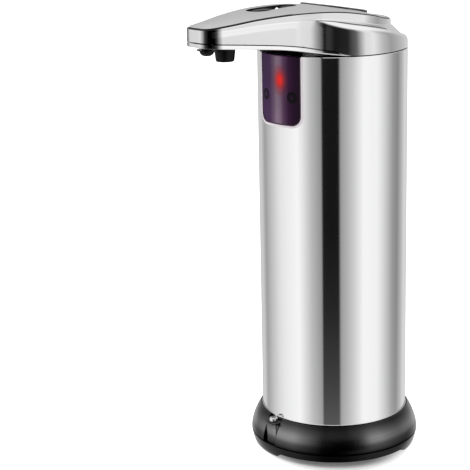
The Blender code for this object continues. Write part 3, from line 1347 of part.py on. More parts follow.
def sensor_window(parent):
    """Curved lens, cut from a short ring to the opening's outline."""
    outer = SLEEVE_RADIUS
    inner = outer - WINDOW_THICKNESS
    profile = ((inner, HEAD_Z - 2 * WINDOW_HEIGHT), (outer, HEAD_Z - 2 * WINDOW_HEIGHT),
               (outer, HEAD_Z + OVERRUN), (inner, HEAD_Z + OVERRUN))
    window = make("sensor_window", turned(profile, ROUND_STEPS), window_tint(), parent)
    combine(window, window_block(GAP, -GAP), "INTERSECT", "window_shape")
    return window


def sensor_board_front():
    return -TANK_FLAT - GAP - BOARD_THICKNESS


def sensor_board(parent):
    half = SENSOR_BOARD_WIDTH / 2
    top = HEAD_Z - GAP - BOARD_THICKNESS
    return make("sensor_board", block((-half, sensor_board_front(), top - SENSOR_BOARD_HEIGHT),
                                      (half, -TANK_FLAT - GAP, top)), board_green(), parent)


def sensor_eyes(parent):
    """Infrared emitter and receiver: short round-nosed cans on the board."""
    height = HEAD_Z - SENSOR_DROP
    nose = SENSOR_RADIUS / 2
    profile = ((0.0, 0.0), (SENSOR_RADIUS, 0.0), (SENSOR_RADIUS, SENSOR_LENGTH - nose),
               (SENSOR_RADIUS * DOME_SHARE, SENSOR_LENGTH - nose * DOME_DROP_SHARE),
               (0.0, SENSOR_LENGTH))
    for name, x in (("ir_emitter", -SENSOR_SPREAD), ("ir_receiver", SENSOR_SPREAD)):
        make(name, turned(profile, TINY_STEPS, "Y"), black_plastic(), parent,
             (x, sensor_board_front() - GAP, height))


def indicator_led(parent):
    profile = ((0.0, 0.0), (LED_RADIUS, 0.0), (LED_RADIUS, LED_LENGTH - LED_RADIUS),
               (LED_RADIUS * DOME_SHARE, LED_LENGTH - LED_RADIUS * DOME_DROP_SHARE), (0.0, LED_LENGTH))
    return make("indicator_led", turned(profile, TINY_STEPS, "Y"), led_red(), parent,
                (0.0, sensor_board_front() - GAP, HEAD_Z - LED_DROP))


def control_board(parent):
    half = SENSOR_BOARD_WIDTH / 2
    top = HEAD_Z - GAP - BOARD_THICKNESS - SENSOR_BOARD_HEIGHT - BOARD_SPACE
    bottom = top - CONTROL_BOARD_HEIGHT
    return make("control_board", block((-half + LEAD_RADIUS, sensor_board_front(), bottom),
                                       (half, -TANK_FLAT - GAP, top)), board_green(), parent)


def flat_circle(radius, flat):
    """Circle cut off by a flat at Y = -flat."""
    lean = math.acos(flat / radius)
    return arc(0.0, 0.0, radius, lean, 2 * math.pi - lean, MID_STEPS)


def soap_tank(parent):
    tank = make("soap_tank", prism(flat_circle(TANK_RADIUS, TANK_FLAT), TANK_Z, TANK_TOP),
                milky_plastic(), parent)
    cut(tank, prism(flat_circle(TANK_RADIUS - TANK_WALL, TANK_FLAT - TANK_WALL), TANK_Z + TANK_WALL,
                    TANK_TOP + OVERRUN), "tank_hollow")
    return tank


def lid_radius():
    return SLEEVE_BORE - GAP


def tank_gasket(parent):
    gasket = make("tank_gasket", prism(flat_circle(lid_radius(), TANK_FLAT), GASKET_Z,
                                       GASKET_Z + GASKET_THICKNESS), black_rubber(), parent)
    cut(gasket, prism(flat_circle(TANK_RADIUS - 2 * TANK_WALL, TANK_FLAT - 2 * TANK_WALL),
                      GASKET_Z - OVERRUN, GASKET_Z + OVERRUN), "gasket_opening")
    return gasket


def neck_foot_y():
    """Where the tilted axis crosses the tank's lid."""
    return CAP_CENTRE_Y - (HEAD_Z + CAP_PLANE - LID_Z) * math.tan(CAP_TILT)


def tank_lid(parent):
    lid = make("tank_lid", prism(flat_circle(lid_radius(), TANK_FLAT), LID_Z, LID_TOP),
               milky_plastic(), parent)
    low = LID_Z - OVERRUN
    high = LID_TOP + OVERRUN
    cut(lid, rod(NECK_BORE, low, high, MID_STEPS), "lid_neck_hole", place=(0.0, neck_foot_y(), 0.0))
    cut(lid, rod(SUCTION_HOLE_RADIUS, low, high), "lid_suction_hole", place=(SUCTION_X, SUCTION_Y, 0.0))
    return lid


# Base

def ring_flare(share):
    """Outer radius of the base ring at a share of its height."""
    top = SLEEVE_RADIUS + GAP + RING_TOP_LIP
    return top + (RING_RADIUS - top) * (1 - share ** RING_FLARE_POWER)


def base_ring(parent, latch):
    lip = SLEEVE_RADIUS + GAP
    spigot = SLEEVE_BORE - GAP
    profile = []
    for i in range(RING_CURVE_STEPS + 1):
        share = i / RING_CURVE_STEPS
        profile.append((ring_flare(share), RING_Z + share * RING_HEIGHT))
    profile += [(lip, RING_TOP), (lip, SHELF_Z), (spigot, SHELF_Z), (spigot, SHELF_Z + SPIGOT_HEIGHT),
                (spigot - SPIGOT_WALL, SHELF_Z + SPIGOT_HEIGHT), (spigot - SPIGOT_WALL, SHELF_Z),
                (RING_WEB_BORE, SHELF_Z), (RING_WEB_BORE, WEB_Z),
                (RING_RADIUS - RING_WALL, WEB_Z), (RING_RADIUS - RING_WALL, RING_Z)]
    ring = make("base_ring", turned(profile, ROUND_STEPS), black_plastic(), parent)
    half = COLUMN_HALF_WIDTH + GAP
    cut(ring, block((-half, -2 * RING_RADIUS, RING_Z - OVERRUN),
                    (half, -SLEEVE_BORE - GAP, RING_TOP + OVERRUN)), "latch_notch", parent=latch)
    return ring


def base_cover(parent, latch):
    """Bottom lid: plate, rim, locating wall, feet and the column of the latch."""
    outer = RING_RADIUS
    low_outer = outer - COVER_RIM_TAPER
    wall_outer = RING_RADIUS - RING_WALL - GAP
    wall_inner = wall_outer - COVER_WALL
    foot_outer = low_outer - COVER_RIM_TAPER
    profile = ((0.0, COVER_Z), (foot_outer - FOOT_WIDTH, COVER_Z), (foot_outer - FOOT_WIDTH, FOOT_Z),
               (foot_outer, FOOT_Z), (low_outer, COVER_Z), (outer, COVER_RIM_TOP),
               (wall_outer, COVER_RIM_TOP), (wall_outer, COVER_RIM_TOP + COVER_WALL_HEIGHT),
               (wall_inner, COVER_RIM_TOP + COVER_WALL_HEIGHT), (wall_inner, COVER_FLOOR),
               (0.0, COVER_FLOOR))
    cover = make("base_cover", turned(profile, ROUND_STEPS), black_plastic(), parent)
    for i in range(2):
        cut(cover, foot_gap(FOOT_GAP_CENTRE + i * math.pi), f"foot_gap_{i + 1}")
    for i, angle in enumerate(pad_angles()):
        cut(cover, rod(PAD_RADIUS + GAP, FOOT_Z - OVERRUN, PAD_HOLD + GAP, TINY_STEPS),
            f"pad_seat_{i + 1}", place=pad_place(angle))
    swollen = squared_ellipse(COLUMN_HALF_WIDTH, COLUMN_DEPTH)
    column = [(x, y - LATCH_BACK) for x, y in swollen if y <= MERGE]
    join(cover, prism(column, COVER_Z + COVER_PLATE / 2, COLUMN_TOP), "latch_column", parent=latch)
    cut(cover, rod(SCREW_SHANK_RADIUS + GAP, COLUMN_TOP - SCREW_LENGTH, COLUMN_TOP + OVERRUN, TINY_STEPS),
        "latch_thread", parent=latch, place=(0.0, LATCH_SCREW_Y, 0.0))
    return cover


def foot_gap(centre):
    """Wedge that opens the foot ring, wider at the floor."""
    top = COVER_Z
    bottom = FOOT_Z - OVERRUN
    slope = FOOT_GAP_FLARE / FOOT_HEIGHT
    shape = bmesh.new()
    rows = []
    steps = SMALL_STEPS
    for height in (bottom, top):
        half = FOOT_GAP_ANGLE / 2 + (top - height) * slope
        outer = arc(0.0, 0.0, RING_RADIUS + OVERRUN, centre - half, centre + half, steps)
        inner = arc(0.0, 0.0, RING_RADIUS - 2 * FOOT_WIDTH, centre + half, centre - half, steps)
        rows.append([shape.verts.new((x, y, height)) for x, y in outer + inner])
    strip_faces(shape, rows, closed_rows=False)
    shape.faces.new(rows[0])
    shape.faces.new(rows[1])
    return shape


def pad_angles():
    """Two pads on each foot, near its ends."""
    half_foot = (math.pi - FOOT_GAP_ANGLE) / 2 - FOOT_GAP_FLARE
    angles = []
    for side in (0, 1):
        middle = FOOT_GAP_CENTRE + math.pi / 2 + side * math.pi
        angles += [middle - half_foot * PAD_PLACE_SHARE, middle + half_foot * PAD_PLACE_SHARE]
    return angles


def pad_place(angle):
    radius = RING_RADIUS - 2 * COVER_RIM_TAPER - FOOT_WIDTH / 2
    return (radius * math.sin(angle), -radius * math.cos(angle), 0.0)


def foot_pads(parent):
    for i, angle in enumerate(pad_angles()):
        make(f"foot_pad_{i + 1}", rod(PAD_RADIUS, 0.0, PAD_THICKNESS - GAP, TINY_STEPS), black_rubber(),
             parent, pad_place(angle))


def latch_tab(latch):
    """Steel tab across the notch, between the column and the screw's head."""
    bottom = COLUMN_TOP + GAP
    half = COLUMN_HALF_WIDTH - GAP
    tab = make("latch_tab", block((-half, -LATCH_BACK - TAB_REACH, bottom),
                                  (half, -LATCH_BACK, bottom + TAB_THICKNESS)),
               screw_steel(), latch)
    cut(tab, rod(SCREW_SHANK_RADIUS + GAP, bottom - OVERRUN, bottom + OVERRUN, TINY_STEPS),
        "tab_hole", place=(0.0, LATCH_SCREW_Y, 0.0))
    return tab


def base_screw(latch):
    seat = COLUMN_TOP + TAB_THICKNESS + 2 * GAP
    foot = seat - SCREW_LENGTH + TAB_THICKNESS
    profile = ((0.0, foot), (SCREW_SHANK_RADIUS, foot), (SCREW_SHANK_RADIUS, seat),
               (SCREW_HEAD_RADIUS, seat), (SCREW_HEAD_RADIUS, seat + SCREW_HEAD_HEIGHT / 2),
               (SCREW_HEAD_RADIUS * DOME_SHARE, seat + SCREW_HEAD_HEIGHT), (0.0, seat + SCREW_HEAD_HEIGHT))
    return make("base_screw", turned(profile, SMALL_STEPS), screw_steel(), latch,
                (0.0, LATCH_SCREW_Y, 0.0))


# Batteries and contacts

def cell_places():
    half = CELL_SPACING / 2
    return ((half, half), (-half, half), (-half, -half), (half, -half))


def battery_holder(parent):
    profile = ((0.0, HOLDER_Z), (HOLDER_RADIUS, HOLDER_Z), (HOLDER_RADIUS, SHELF_Z + GAP),
               (HOLDER_FLANGE_RADIUS, SHELF_Z + GAP), (HOLDER_FLANGE_RADIUS, SHELF_Z + GAP + HOLDER_FLANGE),
               (HOLDER_RADIUS, SHELF_Z + GAP + HOLDER_FLANGE), (HOLDER_RADIUS, HOLDER_TOP),
               (0.0, HOLDER_TOP))
    holder = make("battery_holder", turned(profile, MID_STEPS), black_plastic(), parent)
    for i, (x, y) in enumerate(cell_places()):
        cut(holder, rod(CELL_RADIUS + GAP, HOLDER_Z - OVERRUN, HOLDER_ROOF), f"cell_bore_{i + 1}",
            place=(x, y, 0.0))
    room = CELL_SPACING / 2 + CONTACT_WIDTH / 2 + GAP
    cut(holder, block((-CELL_SPACING, -room, HOLDER_Z - OVERRUN), (CELL_SPACING, room, CELL_Z)),
        "door_contact_room")
    for side in (-1, 1):
        low_y = side * CELL_SPACING / 2 - CONTACT_WIDTH / 2 - GAP
        cut(holder, block((-CELL_SPACING / 2 - CELL_RADIUS / 2, low_y, HOLDER_ROOF - 3 * GAP),
                          (CELL_SPACING / 2 + CELL_RADIUS / 2, low_y + CONTACT_WIDTH + 2 * GAP, HOLDER_ROOF)),
            "roof_contact_room_" + ("a" if side < 0 else "b"))
    return holder


def battery_cells(parent):
    for i, (x, y) in enumerate(cell_places()):
        profile = ((0.0, CELL_Z), (CELL_RADIUS, CELL_Z), (CELL_RADIUS, CELL_TOP), (CELL_TIP_RADIUS, CELL_TOP),
                   (CELL_TIP_RADIUS, CELL_TOP + CELL_TIP_HEIGHT), (0.0, CELL_TOP + CELL_TIP_HEIGHT))
        make(f"battery_cell_{i + 1}", turned(profile, SMALL_STEPS), cell_wrap(), parent, (x, y, 0.0))


def contacts(parent):
    """Strips over and under the cells; each joins the two cells of one side."""
    half_length = CELL_SPACING / 2 + CELL_RADIUS / 2 - GAP
    for side, number in ((-1, 1), (1, 2)):
        low_y = side * CELL_SPACING / 2 - CONTACT_WIDTH / 2
        for name, bottom in (("top_contact", HOLDER_ROOF - GAP - CONTACT_THICKNESS),
                             ("door_contact", COVER_FLOOR + GAP)):
            make(f"{name}_{number}", block((-half_length, low_y, bottom),
                                           (half_length, low_y + CONTACT_WIDTH, bottom + CONTACT_THICKNESS)),
                 contact_metal(), parent)


def contact_springs(parent):
    """A short coil under one cell of each pair, as one unbroken wire."""
    bottom = COVER_FLOOR + 2 * GAP + CONTACT_THICKNESS + SPRING_WIRE
    rise = SPRING_HEIGHT - 2 * SPRING_WIRE
    count = SPRING_TURNS * SPRING_POINTS_PER_TURN
    for number, (x, y) in enumerate((cell_places()[2], cell_places()[0])):
        curve = bpy.data.curves.new(f"contact_spring_{number + 1}", "CURVE")
        curve.dimensions = "3D"
        curve.bevel_depth = SPRING_WIRE
        curve.bevel_resolution = 1
        curve.use_fill_caps = True
        curve.render_resolution_u = 0
        curve.materials.append(contact_metal())
        spline = curve.splines.new("POLY")
        spline.points.add(count)
        for i in range(count + 1):
            angle = 2 * math.pi * i / SPRING_POINTS_PER_TURN
            spline.points[i].co = (SPRING_RADIUS * math.cos(angle), SPRING_RADIUS * math.sin(angle),
                                   rise * i / count, 1.0)
        spring = bpy.data.objects.new(f"contact_spring_{number + 1}", curve)
        spring.parent = parent
        spring.location = (x, y, bottom)
        bpy.context.scene.collection.objects.link(spring)


def build():
    clear_scene()
    dispenser = empty("dispenser", (0.0, AXIS_Y, 0.0))
    latch = empty("latch", (0.0, 0.0, 0.0), dispenser)
    latch.rotation_euler = (0.0, 0.0, LATCH_ANGLE)
    cap_axis = empty("cap_axis", (0.0, CAP_CENTRE_Y, HEAD_Z + CAP_PLANE), dispenser, -CAP_TILT)

    base_cover(dispenser, latch)
    foot_pads(dispenser)
    base_ring(dispenser, latch)
    latch_tab(latch)
    base_screw(latch)
    battery_holder(dispenser)
    battery_cells(dispenser)
    contacts(dispenser)
    contact_springs(dispenser)

    outer_sleeve(dispenser)
    soap_tank(dispenser)
    tank_gasket(dispenser)
    tank_lid(dispenser)
    sensor_window(dispenser)
    sensor_board(dispenser)
    sensor_eyes(dispenser)
    indicator_led(dispenser)
    control_board(dispenser)
    top_frame(dispenser)

    plate = head_underplate(dispenser)
    head_screws(dispenser)
    head_shell(dispenser)
    cover = head_top_cover(dispenser)
    open_for_neck(cover, plate, cap_axis)
    fill_neck(cap_axis)
    fill_cap(cap_axis)
    cap_seal(cap_axis)
    button_panel(dispenser)
    buttons(dispenser)
    status_lens(dispenser)
    button_board(dispenser)
    switches(dispenser)
    nozzle(dispenser)
    valve_cup(dispenser)

    motor(dispenser)
    gear_train(dispenser)
    pump_housing(dispenser)
    pump_cover(dispenser)
    outlet_tube(dispenser)
    suction_tube(dispenser)
    wire_lead(dispenser)


build()
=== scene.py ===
"""Looks of the automatic soap dispenser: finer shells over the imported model, finishes and studio.

Metres, +Z up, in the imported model's frame. The spout points along -Y.
"""

from functools import cache
from math import acos, atan2, copysign, cos, dist, hypot, pi, radians, sin, sqrt, tan

import bmesh
import bpy
from mathutils import Matrix, Vector


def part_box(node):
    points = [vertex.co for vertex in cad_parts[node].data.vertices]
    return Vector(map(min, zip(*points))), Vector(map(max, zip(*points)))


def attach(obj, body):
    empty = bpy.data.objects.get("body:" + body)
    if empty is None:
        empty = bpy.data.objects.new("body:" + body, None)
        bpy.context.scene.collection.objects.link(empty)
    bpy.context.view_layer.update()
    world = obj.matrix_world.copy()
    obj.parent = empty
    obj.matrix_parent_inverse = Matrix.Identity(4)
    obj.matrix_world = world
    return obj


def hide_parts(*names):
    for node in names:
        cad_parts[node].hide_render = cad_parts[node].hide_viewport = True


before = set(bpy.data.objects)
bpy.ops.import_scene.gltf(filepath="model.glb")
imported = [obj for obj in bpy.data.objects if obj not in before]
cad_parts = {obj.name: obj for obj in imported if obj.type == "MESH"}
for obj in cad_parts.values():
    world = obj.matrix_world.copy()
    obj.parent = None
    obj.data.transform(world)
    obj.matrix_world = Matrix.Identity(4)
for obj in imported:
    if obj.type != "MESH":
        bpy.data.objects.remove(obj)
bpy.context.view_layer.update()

# Fits and heights, as in the model
GAP = 0.0003
SEAM_GAP = 0.0004
OVERRUN = 0.004
MERGE = 0.000001
HEAD_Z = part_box("outer_sleeve")[1][2]
SLEEVE_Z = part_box("outer_sleeve")[0][2]
RING_TOP = SLEEVE_Z + 0.003
RING_Z = 0.0058
SPOUT_REACH = 0.0750
RING_RADIUS = 0.0377
AXIS_Y = (SPOUT_REACH - RING_RADIUS) / 2

# Facets
ROUND_STEPS = 192
DISC_STEPS = 96
SMALL_STEPS = 40
TINY_STEPS = 24
ROUND_EDGE_STEPS = 4
SMOOTH_ANGLE = radians(30.0)
SQUARE = ((-1, -1), (1, -1), (1, 1), (-1, 1))
CUT = "DIFFERENCE"
JOIN = "UNION"
KEEP = "INTERSECT"

# Sleeve
SLEEVE_RADIUS = 0.0325
SLEEVE_WALL = 0.0008
SLEEVE_BORE = SLEEVE_RADIUS - SLEEVE_WALL
SLEEVE_EDGE = 0.00015
HEM_RADIUS = 0.00022
HEM_RISE = 0.0003
HEM_STEPS = 6

# Window
WINDOW_HALF_WIDTH = 0.01205
WINDOW_SHIFT = 0.0010
WINDOW_HEIGHT = 0.0295
WINDOW_CORNER = 0.0045
WINDOW_THICKNESS = 0.0016
WINDOW_CORNER_STEPS = 10
LED_DROP = 0.0103
GLOW_X = 0.0024
GLOW_HALF_WIDTH = 0.0052
GLOW_HALF_HEIGHT = 0.0076
# Frames round the window: outer and inner inset from the opening's edge, and how proud they stand
BEZEL = (-0.00075, 0.00015, 0.00012)
BEZEL_LINE = (0.00010, 0.00065, 0.00006)
EYE_PLACES = (-0.0070, 0.0088)
EYE_RADIUS = 0.0030
EYE_DROP = 0.0172
WINDOW_ROUGHNESS = 0.12
# Painted light: colours over the window's width, paler in the middle in front of the lamp and darker
# towards the sides; and from the edge to the middle of an eye and of the painted glow
WINDOW_PAINTED_LIGHT_BANDS = ((0.0, (0.045, 0.014, 0.066)), (1.0, (0.014, 0.001, 0.014)), (0.15, (0.062, 0.022, 0.090)),
                (0.34, (0.085, 0.034, 0.110)), (0.45, (0.19, 0.115, 0.19)), (0.52, (0.30, 0.21, 0.29)),
                (0.60, (0.28, 0.18, 0.27)), (0.68, (0.13, 0.060, 0.13)), (0.79, (0.045, 0.010, 0.050)),
                (0.90, (0.022, 0.002, 0.024)))
EYE_RING = ((0.0, (1.0, 1.0, 1.0)), (1.0, (0.75, 0.65, 0.75)), (0.10, (1.0, 1.0, 1.0)),
            (0.22, (0.12, 0.08, 0.12)), (0.55, (0.12, 0.08, 0.12)), (0.70, (0.60, 0.50, 0.60)))
# Painted glow: the lens itself glows red round the lamp, and its colour darkens there
PAINTED_GLOW_STOPS = ((0.0, (0.0, 0.0, 0.0)), (1.0, (0.68, 0.008, 0.006)), (0.30, (0.035, 0.002, 0.003)),
              (0.55, (0.17, 0.008, 0.008)), (0.75, (0.52, 0.020, 0.016)), (0.90, (0.74, 0.018, 0.014)))
PAINTED_GLOW_SHADE = ((0.0, (1.0, 1.0, 1.0)), (1.0, (0.05, 0.01, 0.01)), (0.45, (0.9, 0.5, 0.5)),
              (0.72, (0.4, 0.05, 0.05)))

# Base
RING_TOP_LIP = 0.0006
RING_WALL = 0.0038
RING_FLARE_POWER = 1.75
RING_CURVE_STEPS = 24
RING_EDGE = 0.0003
SHELF_Z = SLEEVE_Z - GAP
RING_WEB = 0.0030
RING_WEB_BORE = 0.018994
SPIGOT_HEIGHT = 0.0070
SPIGOT_WALL = 0.0012
FOOT_Z = 0.0003
FOOT_HEIGHT = 0.0020
FOOT_WIDTH = 0.0056
FOOT_GAP_ANGLE = radians(92.0)
FOOT_GAP_FLARE = radians(7.5)
FOOT_GAP_CENTRE = radians(53.5)
COVER_Z = FOOT_Z + FOOT_HEIGHT
COVER_RIM_TOP = RING_Z - GAP
COVER_RIM_TAPER = 0.0007
COVER_RIM_EDGE = 0.0003
COVER_FLOOR = COVER_Z + 0.0020
COVER_WALL = 0.0016
COVER_WALL_HEIGHT = 0.0035
# Painted sheen: the lacquer's colour by height up the ring, brightest in a band part way up
BASE_PAINTED_SHEEN = ((0.0, (0.010, 0.010, 0.0102)), (1.0, (0.035, 0.035, 0.0355)),
              (0.36, (0.020, 0.020, 0.0205)), (0.50, (0.085, 0.085, 0.086)), (0.60, (0.24, 0.24, 0.243)),
              (0.70, (0.26, 0.26, 0.263)), (0.83, (0.13, 0.13, 0.132)), (0.93, (0.055, 0.055, 0.056)))
# Painted shade: the lacquer's colour is darker on the side away from both lamps: angle round the axis,
# share of the colour
BASE_PAINTED_SHADE_ROUND = ((-180, 1.0), (18, 1.0), (40, 0.25), (55, 0.25), (74, 1.0), (180, 1.0))
LATCH_ANGLE = radians(-3.5)
LATCH_BACK = SLEEVE_RADIUS + GAP
COLUMN_HALF_WIDTH = 0.0040
COLUMN_DEPTH = 0.0038
COLUMN_CORNER_POWER = 0.45
COLUMN_TOP_DROP = 0.0026
SCREW_HEAD_RADIUS = 0.0019
SCREW_HEAD_HEIGHT = 0.0014
SCREW_SHANK_RADIUS = 0.0008
SCREW_SLOT_WIDTH = 0.0006
SCREW_SLOT_LENGTH = 0.0024
SCREW_SLOT_DEPTH = 0.0008
LATCH_SCREW_Y = -LATCH_BACK - SCREW_HEAD_RADIUS
PAD_RADIUS = 0.0022
PAD_SEAT_TOP = 0.0011
PAD_PLACE_SHARE = 0.7

# Head
# Painted dark reflection: the plating's colour is darker over the spout's two front corners: place, reach
# and tint from its edge inwards
NOSE_PAINTED_REFLECTION_X = 0.0077
NOSE_PAINTED_REFLECTION_Y = -0.0727
NOSE_PAINTED_REFLECTION_RADIUS = 0.0050
NOSE_PAINTED_DARK_REFLECTION = ((0.0, 1.0), (1.0, 0.02), (0.25, 0.50), (0.50, 0.07), (0.75, 0.02))
# Duller plating in the hollow between the spout and the round wall: place, reach, added roughness
BEND_X = 0.0165
BEND_Y = -0.0290
BEND_RADIUS = 0.0075
BEND_DULL = ((0.0, 0.0), (1.0, 0.32), (0.35, 0.24))
NOSE_FLAT = 0.0030
NOSE_CORNER = 0.0060
RIM_RADIUS = 0.0253
SKIRT_RADIUS = SLEEVE_RADIUS
FILLET_RADIUS = 0.0140
HEAD_RISE = 0.01865
NOSE_RISE = 0.0072
CROWN = 0.0016
NOSE_CROWN = 0.0012
SHELL_WALL = 0.0018
SHOULDER_ROUND = 0.0027
FOOT_ROUND = 0.0005
RIM_ROUND = 0.00035
SKIRT_EDGE = 0.0002
RIM_WIDTH = 0.0007
RIM_DROP = 0.0006
# Painted shade: black faces in the recess under the seam between rim and cover
RECESS_PAINTED_SHADE_SIDES = (20, 21, 22)
# Painted shade: a dark line of faces along the shoulder's crease, between two angles round the axis
CREASE_PAINTED_SHADE_SIDE = 9
CREASE_WIDTH = 0.0014
CREASE_PAINTED_SHADE_START = radians(35.0)
CREASE_PAINTED_SHADE_END = radians(98.0)
WALL_DRAFT = tan(radians(1.0))
LEDGE_WIDTH = 0.0030
LEDGE_THICKNESS = 0.0012
COVER_THICKNESS = 0.0016
COVER_EDGE = 0.00015
EDGE_NORMAL = 0.5
PLATE_EDGE = 0.0017
PLATE_WEB = 0.0012
PLATE_ROUND = 0.0007
MIN_STEP = 0.0004
# Largest share of the way from the skirt to the rim that each rounding and the crease may take
SHOULDER_LIMIT = 0.45
FOOT_LIMIT = 0.25
CREASE_LIMIT = 0.5
# Rings under the cover and the plate, as shares of the way from the spine to the edge
COVER_UNDER_SHARES = (1.0, 0.6, 0.3, 0.0)
PLATE_UNDER_SHARES = (0.7, 0.35, 0.0)
PLATE_END = radians(56.0)
PLATE_STEP = radians(3.0)
LIP_STEPS = 6
LIP_END = 3 * PLATE_STEP
LIP_BACK = 1.75 * PLATE_STEP
NOSE_STEPS = 14
LINE_STEPS = 18
FILLET_STEPS = 16
BAND_STEPS = 5
SKIRT_STEPS = 48
COVER_RINGS = 14
SHOULDER_STEPS = 6
FOOT_STEPS = 3
RIM_STEPS = 4

# Heights along the head: place as a share of the spout's reach in front of the axis and of
# the sleeve's radius behind it, height as a share of the head's rise (or of the nose's)
CREASE_SHARES = ((-1.0, 0.800), (-0.85, 0.862), (-0.70, 0.935), (-0.52, 0.988), (-0.38, 1.0),
                 (-0.27, 0.990), (-0.18, 0.963), (-0.08, 0.905), (0.05, 0.830), (0.25, 0.745),
                 (0.55, 0.680), (0.80, 0.655), (1.0, 0.645))
UNDER_SHARES = ((-1.0, 0.960), (-0.84, 0.820), (-0.70, 0.690), (-0.55, 0.530), (-0.43, 0.345),
                (-0.36, 0.210), (-0.28, 0.070), (-0.20, 0.0), (1.0, 0.0))
SHOULDER_SHARES = ((-1.0, 0.86), (-0.348, 0.800), (-0.30, 0.780), (-0.248, 0.735), (-0.19, 0.690),
                   (-0.11, 0.640), (-0.04, 0.590), (0.17, 0.500), (0.39, 0.415), (0.68, 0.310),
                   (1.0, 0.215))
RIM_FOOT_SHARES = ((-1.0, 0.90), (-0.35, 0.840), (-0.22, 0.780), (-0.115, 0.724), (-0.03, 0.654),
                   (0.15, 0.584), (0.58, 0.499), (0.78, 0.477), (1.0, 0.462))
WALL_SPLIT_SHARE = 0.74
WALL_SPLIT_TOP_SHARE = 0.82

# Holes in the underplate
HEAD_SCREW_X = 0.0264
HEAD_SCREW_Y = 0.0050
HEAD_SCREW_HOLE = 0.0015
SUCTION_X = 0.0135164
SUCTION_Y = -0.0150115
SUCTION_HOLE_RADIUS = 0.0028
LEAD_X = -0.0126
LEAD_Y = -0.0258
LEAD_HOLE_RADIUS = 0.0015
NECK_OUTER = 0.0110

# Fill cap
CAP_TILT = 0.182929
CAP_CENTRE_Y = 0.0012
CAP_PLANE = 0.0180445
CAP_RADIUS = 0.0145
CAP_CHAMFER = 0.0003
CAP_LIGHT_SIDE = 0.00035
CAP_SINK = 0.0005
# Painted shade: the cap's side below its light band and the disc's underside take the black finish
CAP_PAINTED_SHADE_SIDES = (6, 7)
CAP_DOME = 0.0002
CAP_DISC = 0.0035
CAP_PLUG_RADIUS = 0.0090
CAP_PLUG_LENGTH = 0.0060
CAP_GROOVE_DEPTH = 0.0009
CAP_GROOVE_DROP = 0.0030
CAP_GROOVE_HALF = 0.00085

# Buttons
PANEL_FRONT_Y = -0.0461025
PANEL_REAR_Y = -0.0220
PANEL_FRONT_RADIUS = 0.0053025
PANEL_REAR_RADIUS = 0.0036949
PANEL_TOP = 0.0187
PANEL_PLATE = 0.0009
PANEL_FLANGE_WIDTH = 0.0012
PANEL_FLANGE_TOP = 0.0164
PANEL_LEG = 0.0009
PANEL_WALL = 0.0008
BUTTONS = (("power_button", -0.0389785, 0.0057240, 0.0037487, 0.0196),
           ("amount_button", -0.0264207, 0.0030207, 0.0020722, 0.0199))
BUTTON_CROWN = 0.0007
BUTTON_FLANGE = 0.0005
BUTTON_FLANGE_WIDTH = 0.0004
BUTTON_STEM_RADIUS = 0.0012
SWITCH_TOP = 0.0161
BUTTON_TRAVEL = 0.0004
BUTTON_RINGS = 8
LENS_Y = -0.0312691
LENS_RADIUS = 0.0006369
LENS_PROUD = 0.0008

# Outlet
NOZZLE_Y = -0.0688
NOZZLE_RADIUS = 0.0031
NOZZLE_DROP = 0.0024
NOZZLE_LIP_RADIUS = 0.0042
NOZZLE_LIP = 0.0003
NOZZLE_STEM_RADIUS = 0.0022
NOZZLE_FLANGE_RADIUS = 0.0030
NOZZLE_FLANGE = 0.0008
NOZZLE_BORE = 0.0009
NOZZLE_STEPS = 14
VALVE_Y = -0.0595
VALVE_TOP_RADIUS = 0.0044
VALVE_BOTTOM_RADIUS = 0.0038
VALVE_DROP = 0.0050
VALVE_STEM_RADIUS = 0.0030
VALVE_FLANGE_RADIUS = 0.0038
VALVE_FLANGE = 0.0010
VALVE_EDGE = 0.0005

# Camera: its place round the sleeve's axis, and how it is turned
CAMERA_AZIMUTH = radians(47.0)
CAMERA_DISTANCE = 0.650
CAMERA_HEIGHT = 0.2671
CAMERA_PITCH = radians(14.74)
CAMERA_YAW = radians(-3.85)
CAMERA_ROLL = radians(-1.24)
CAMERA_LENS = 115.4
SENSOR_WIDTH = 36.0
CLIP_START = 0.01

# Studio
FLOOR_SIZE = 14.0
FLOOR_COLOUR = 0.80
FLOOR_ROUGHNESS = 0.9
# Painted shadow: the floor's glow for the camera is dimmest near a point just in front of the base and
# rises to full between these distances
FLOOR_GLOW_NEAR = 0.11
FLOOR_GLOW_FAR = 1.0
FLOOR_GLOW_AHEAD = 0.018
FLOOR_GLOW_START = 0.018
FLOOR_GLOW_END = 0.040
SKY_LEVEL = 0.62
LAMP_SIZE = 0.9
LAMP_POWER = 9.0
LAMP_PLACE = (-0.35, -0.25, 1.15)

# What the metal mirrors, round the camera's direction: angle in degrees, brightness
MIRROR_ROUND = ((-180, 0.6), (-145, 0.7), (-130, 0.4), (-85, 1.0), (-55, 1.15), (-33, 0.6),
                (-17.5, 0.35), (-15.5, 0.01), (9, 0.01), (12, 0.4), (30, 0.7), (48, 1.15), (72, 1.1),
                (105, 0.4), (118, 0.3), (145, 0.8), (180, 0.6))
# The same nearer the horizon, where the head's walls look
MIRROR_LEVEL = ((-180, 0.6), (-130, 0.4), (-85, 1.0), (-60, 1.1), (-26, 0.4), (-17, 0.1), (5, 0.01),
                (25, 0.02), (38, 0.15), (52, 0.85), (66, 0.95), (82, 0.6), (100, 0.4), (150, 0.7),
                (180, 0.6))
LEVEL_BLEND = ((-1.0, 0.0), (-0.129, 0.0), (-0.108, 1.0), (1.0, 1.0))
# The same by height: sine of the elevation, share of plain white mixed in
MIRROR_BELOW = ((-1.0, 0.85), (-0.62, 0.50), (-0.372, 0.098), (-0.357, 0.052), (-0.308, 0.012),
                (-0.26, 0.0))
MIRROR_ABOVE = ((0.34, 0.0), (0.50, 0.35), (0.66, 0.85), (0.76, 1.0))
MIRROR_WHITE = 1.08

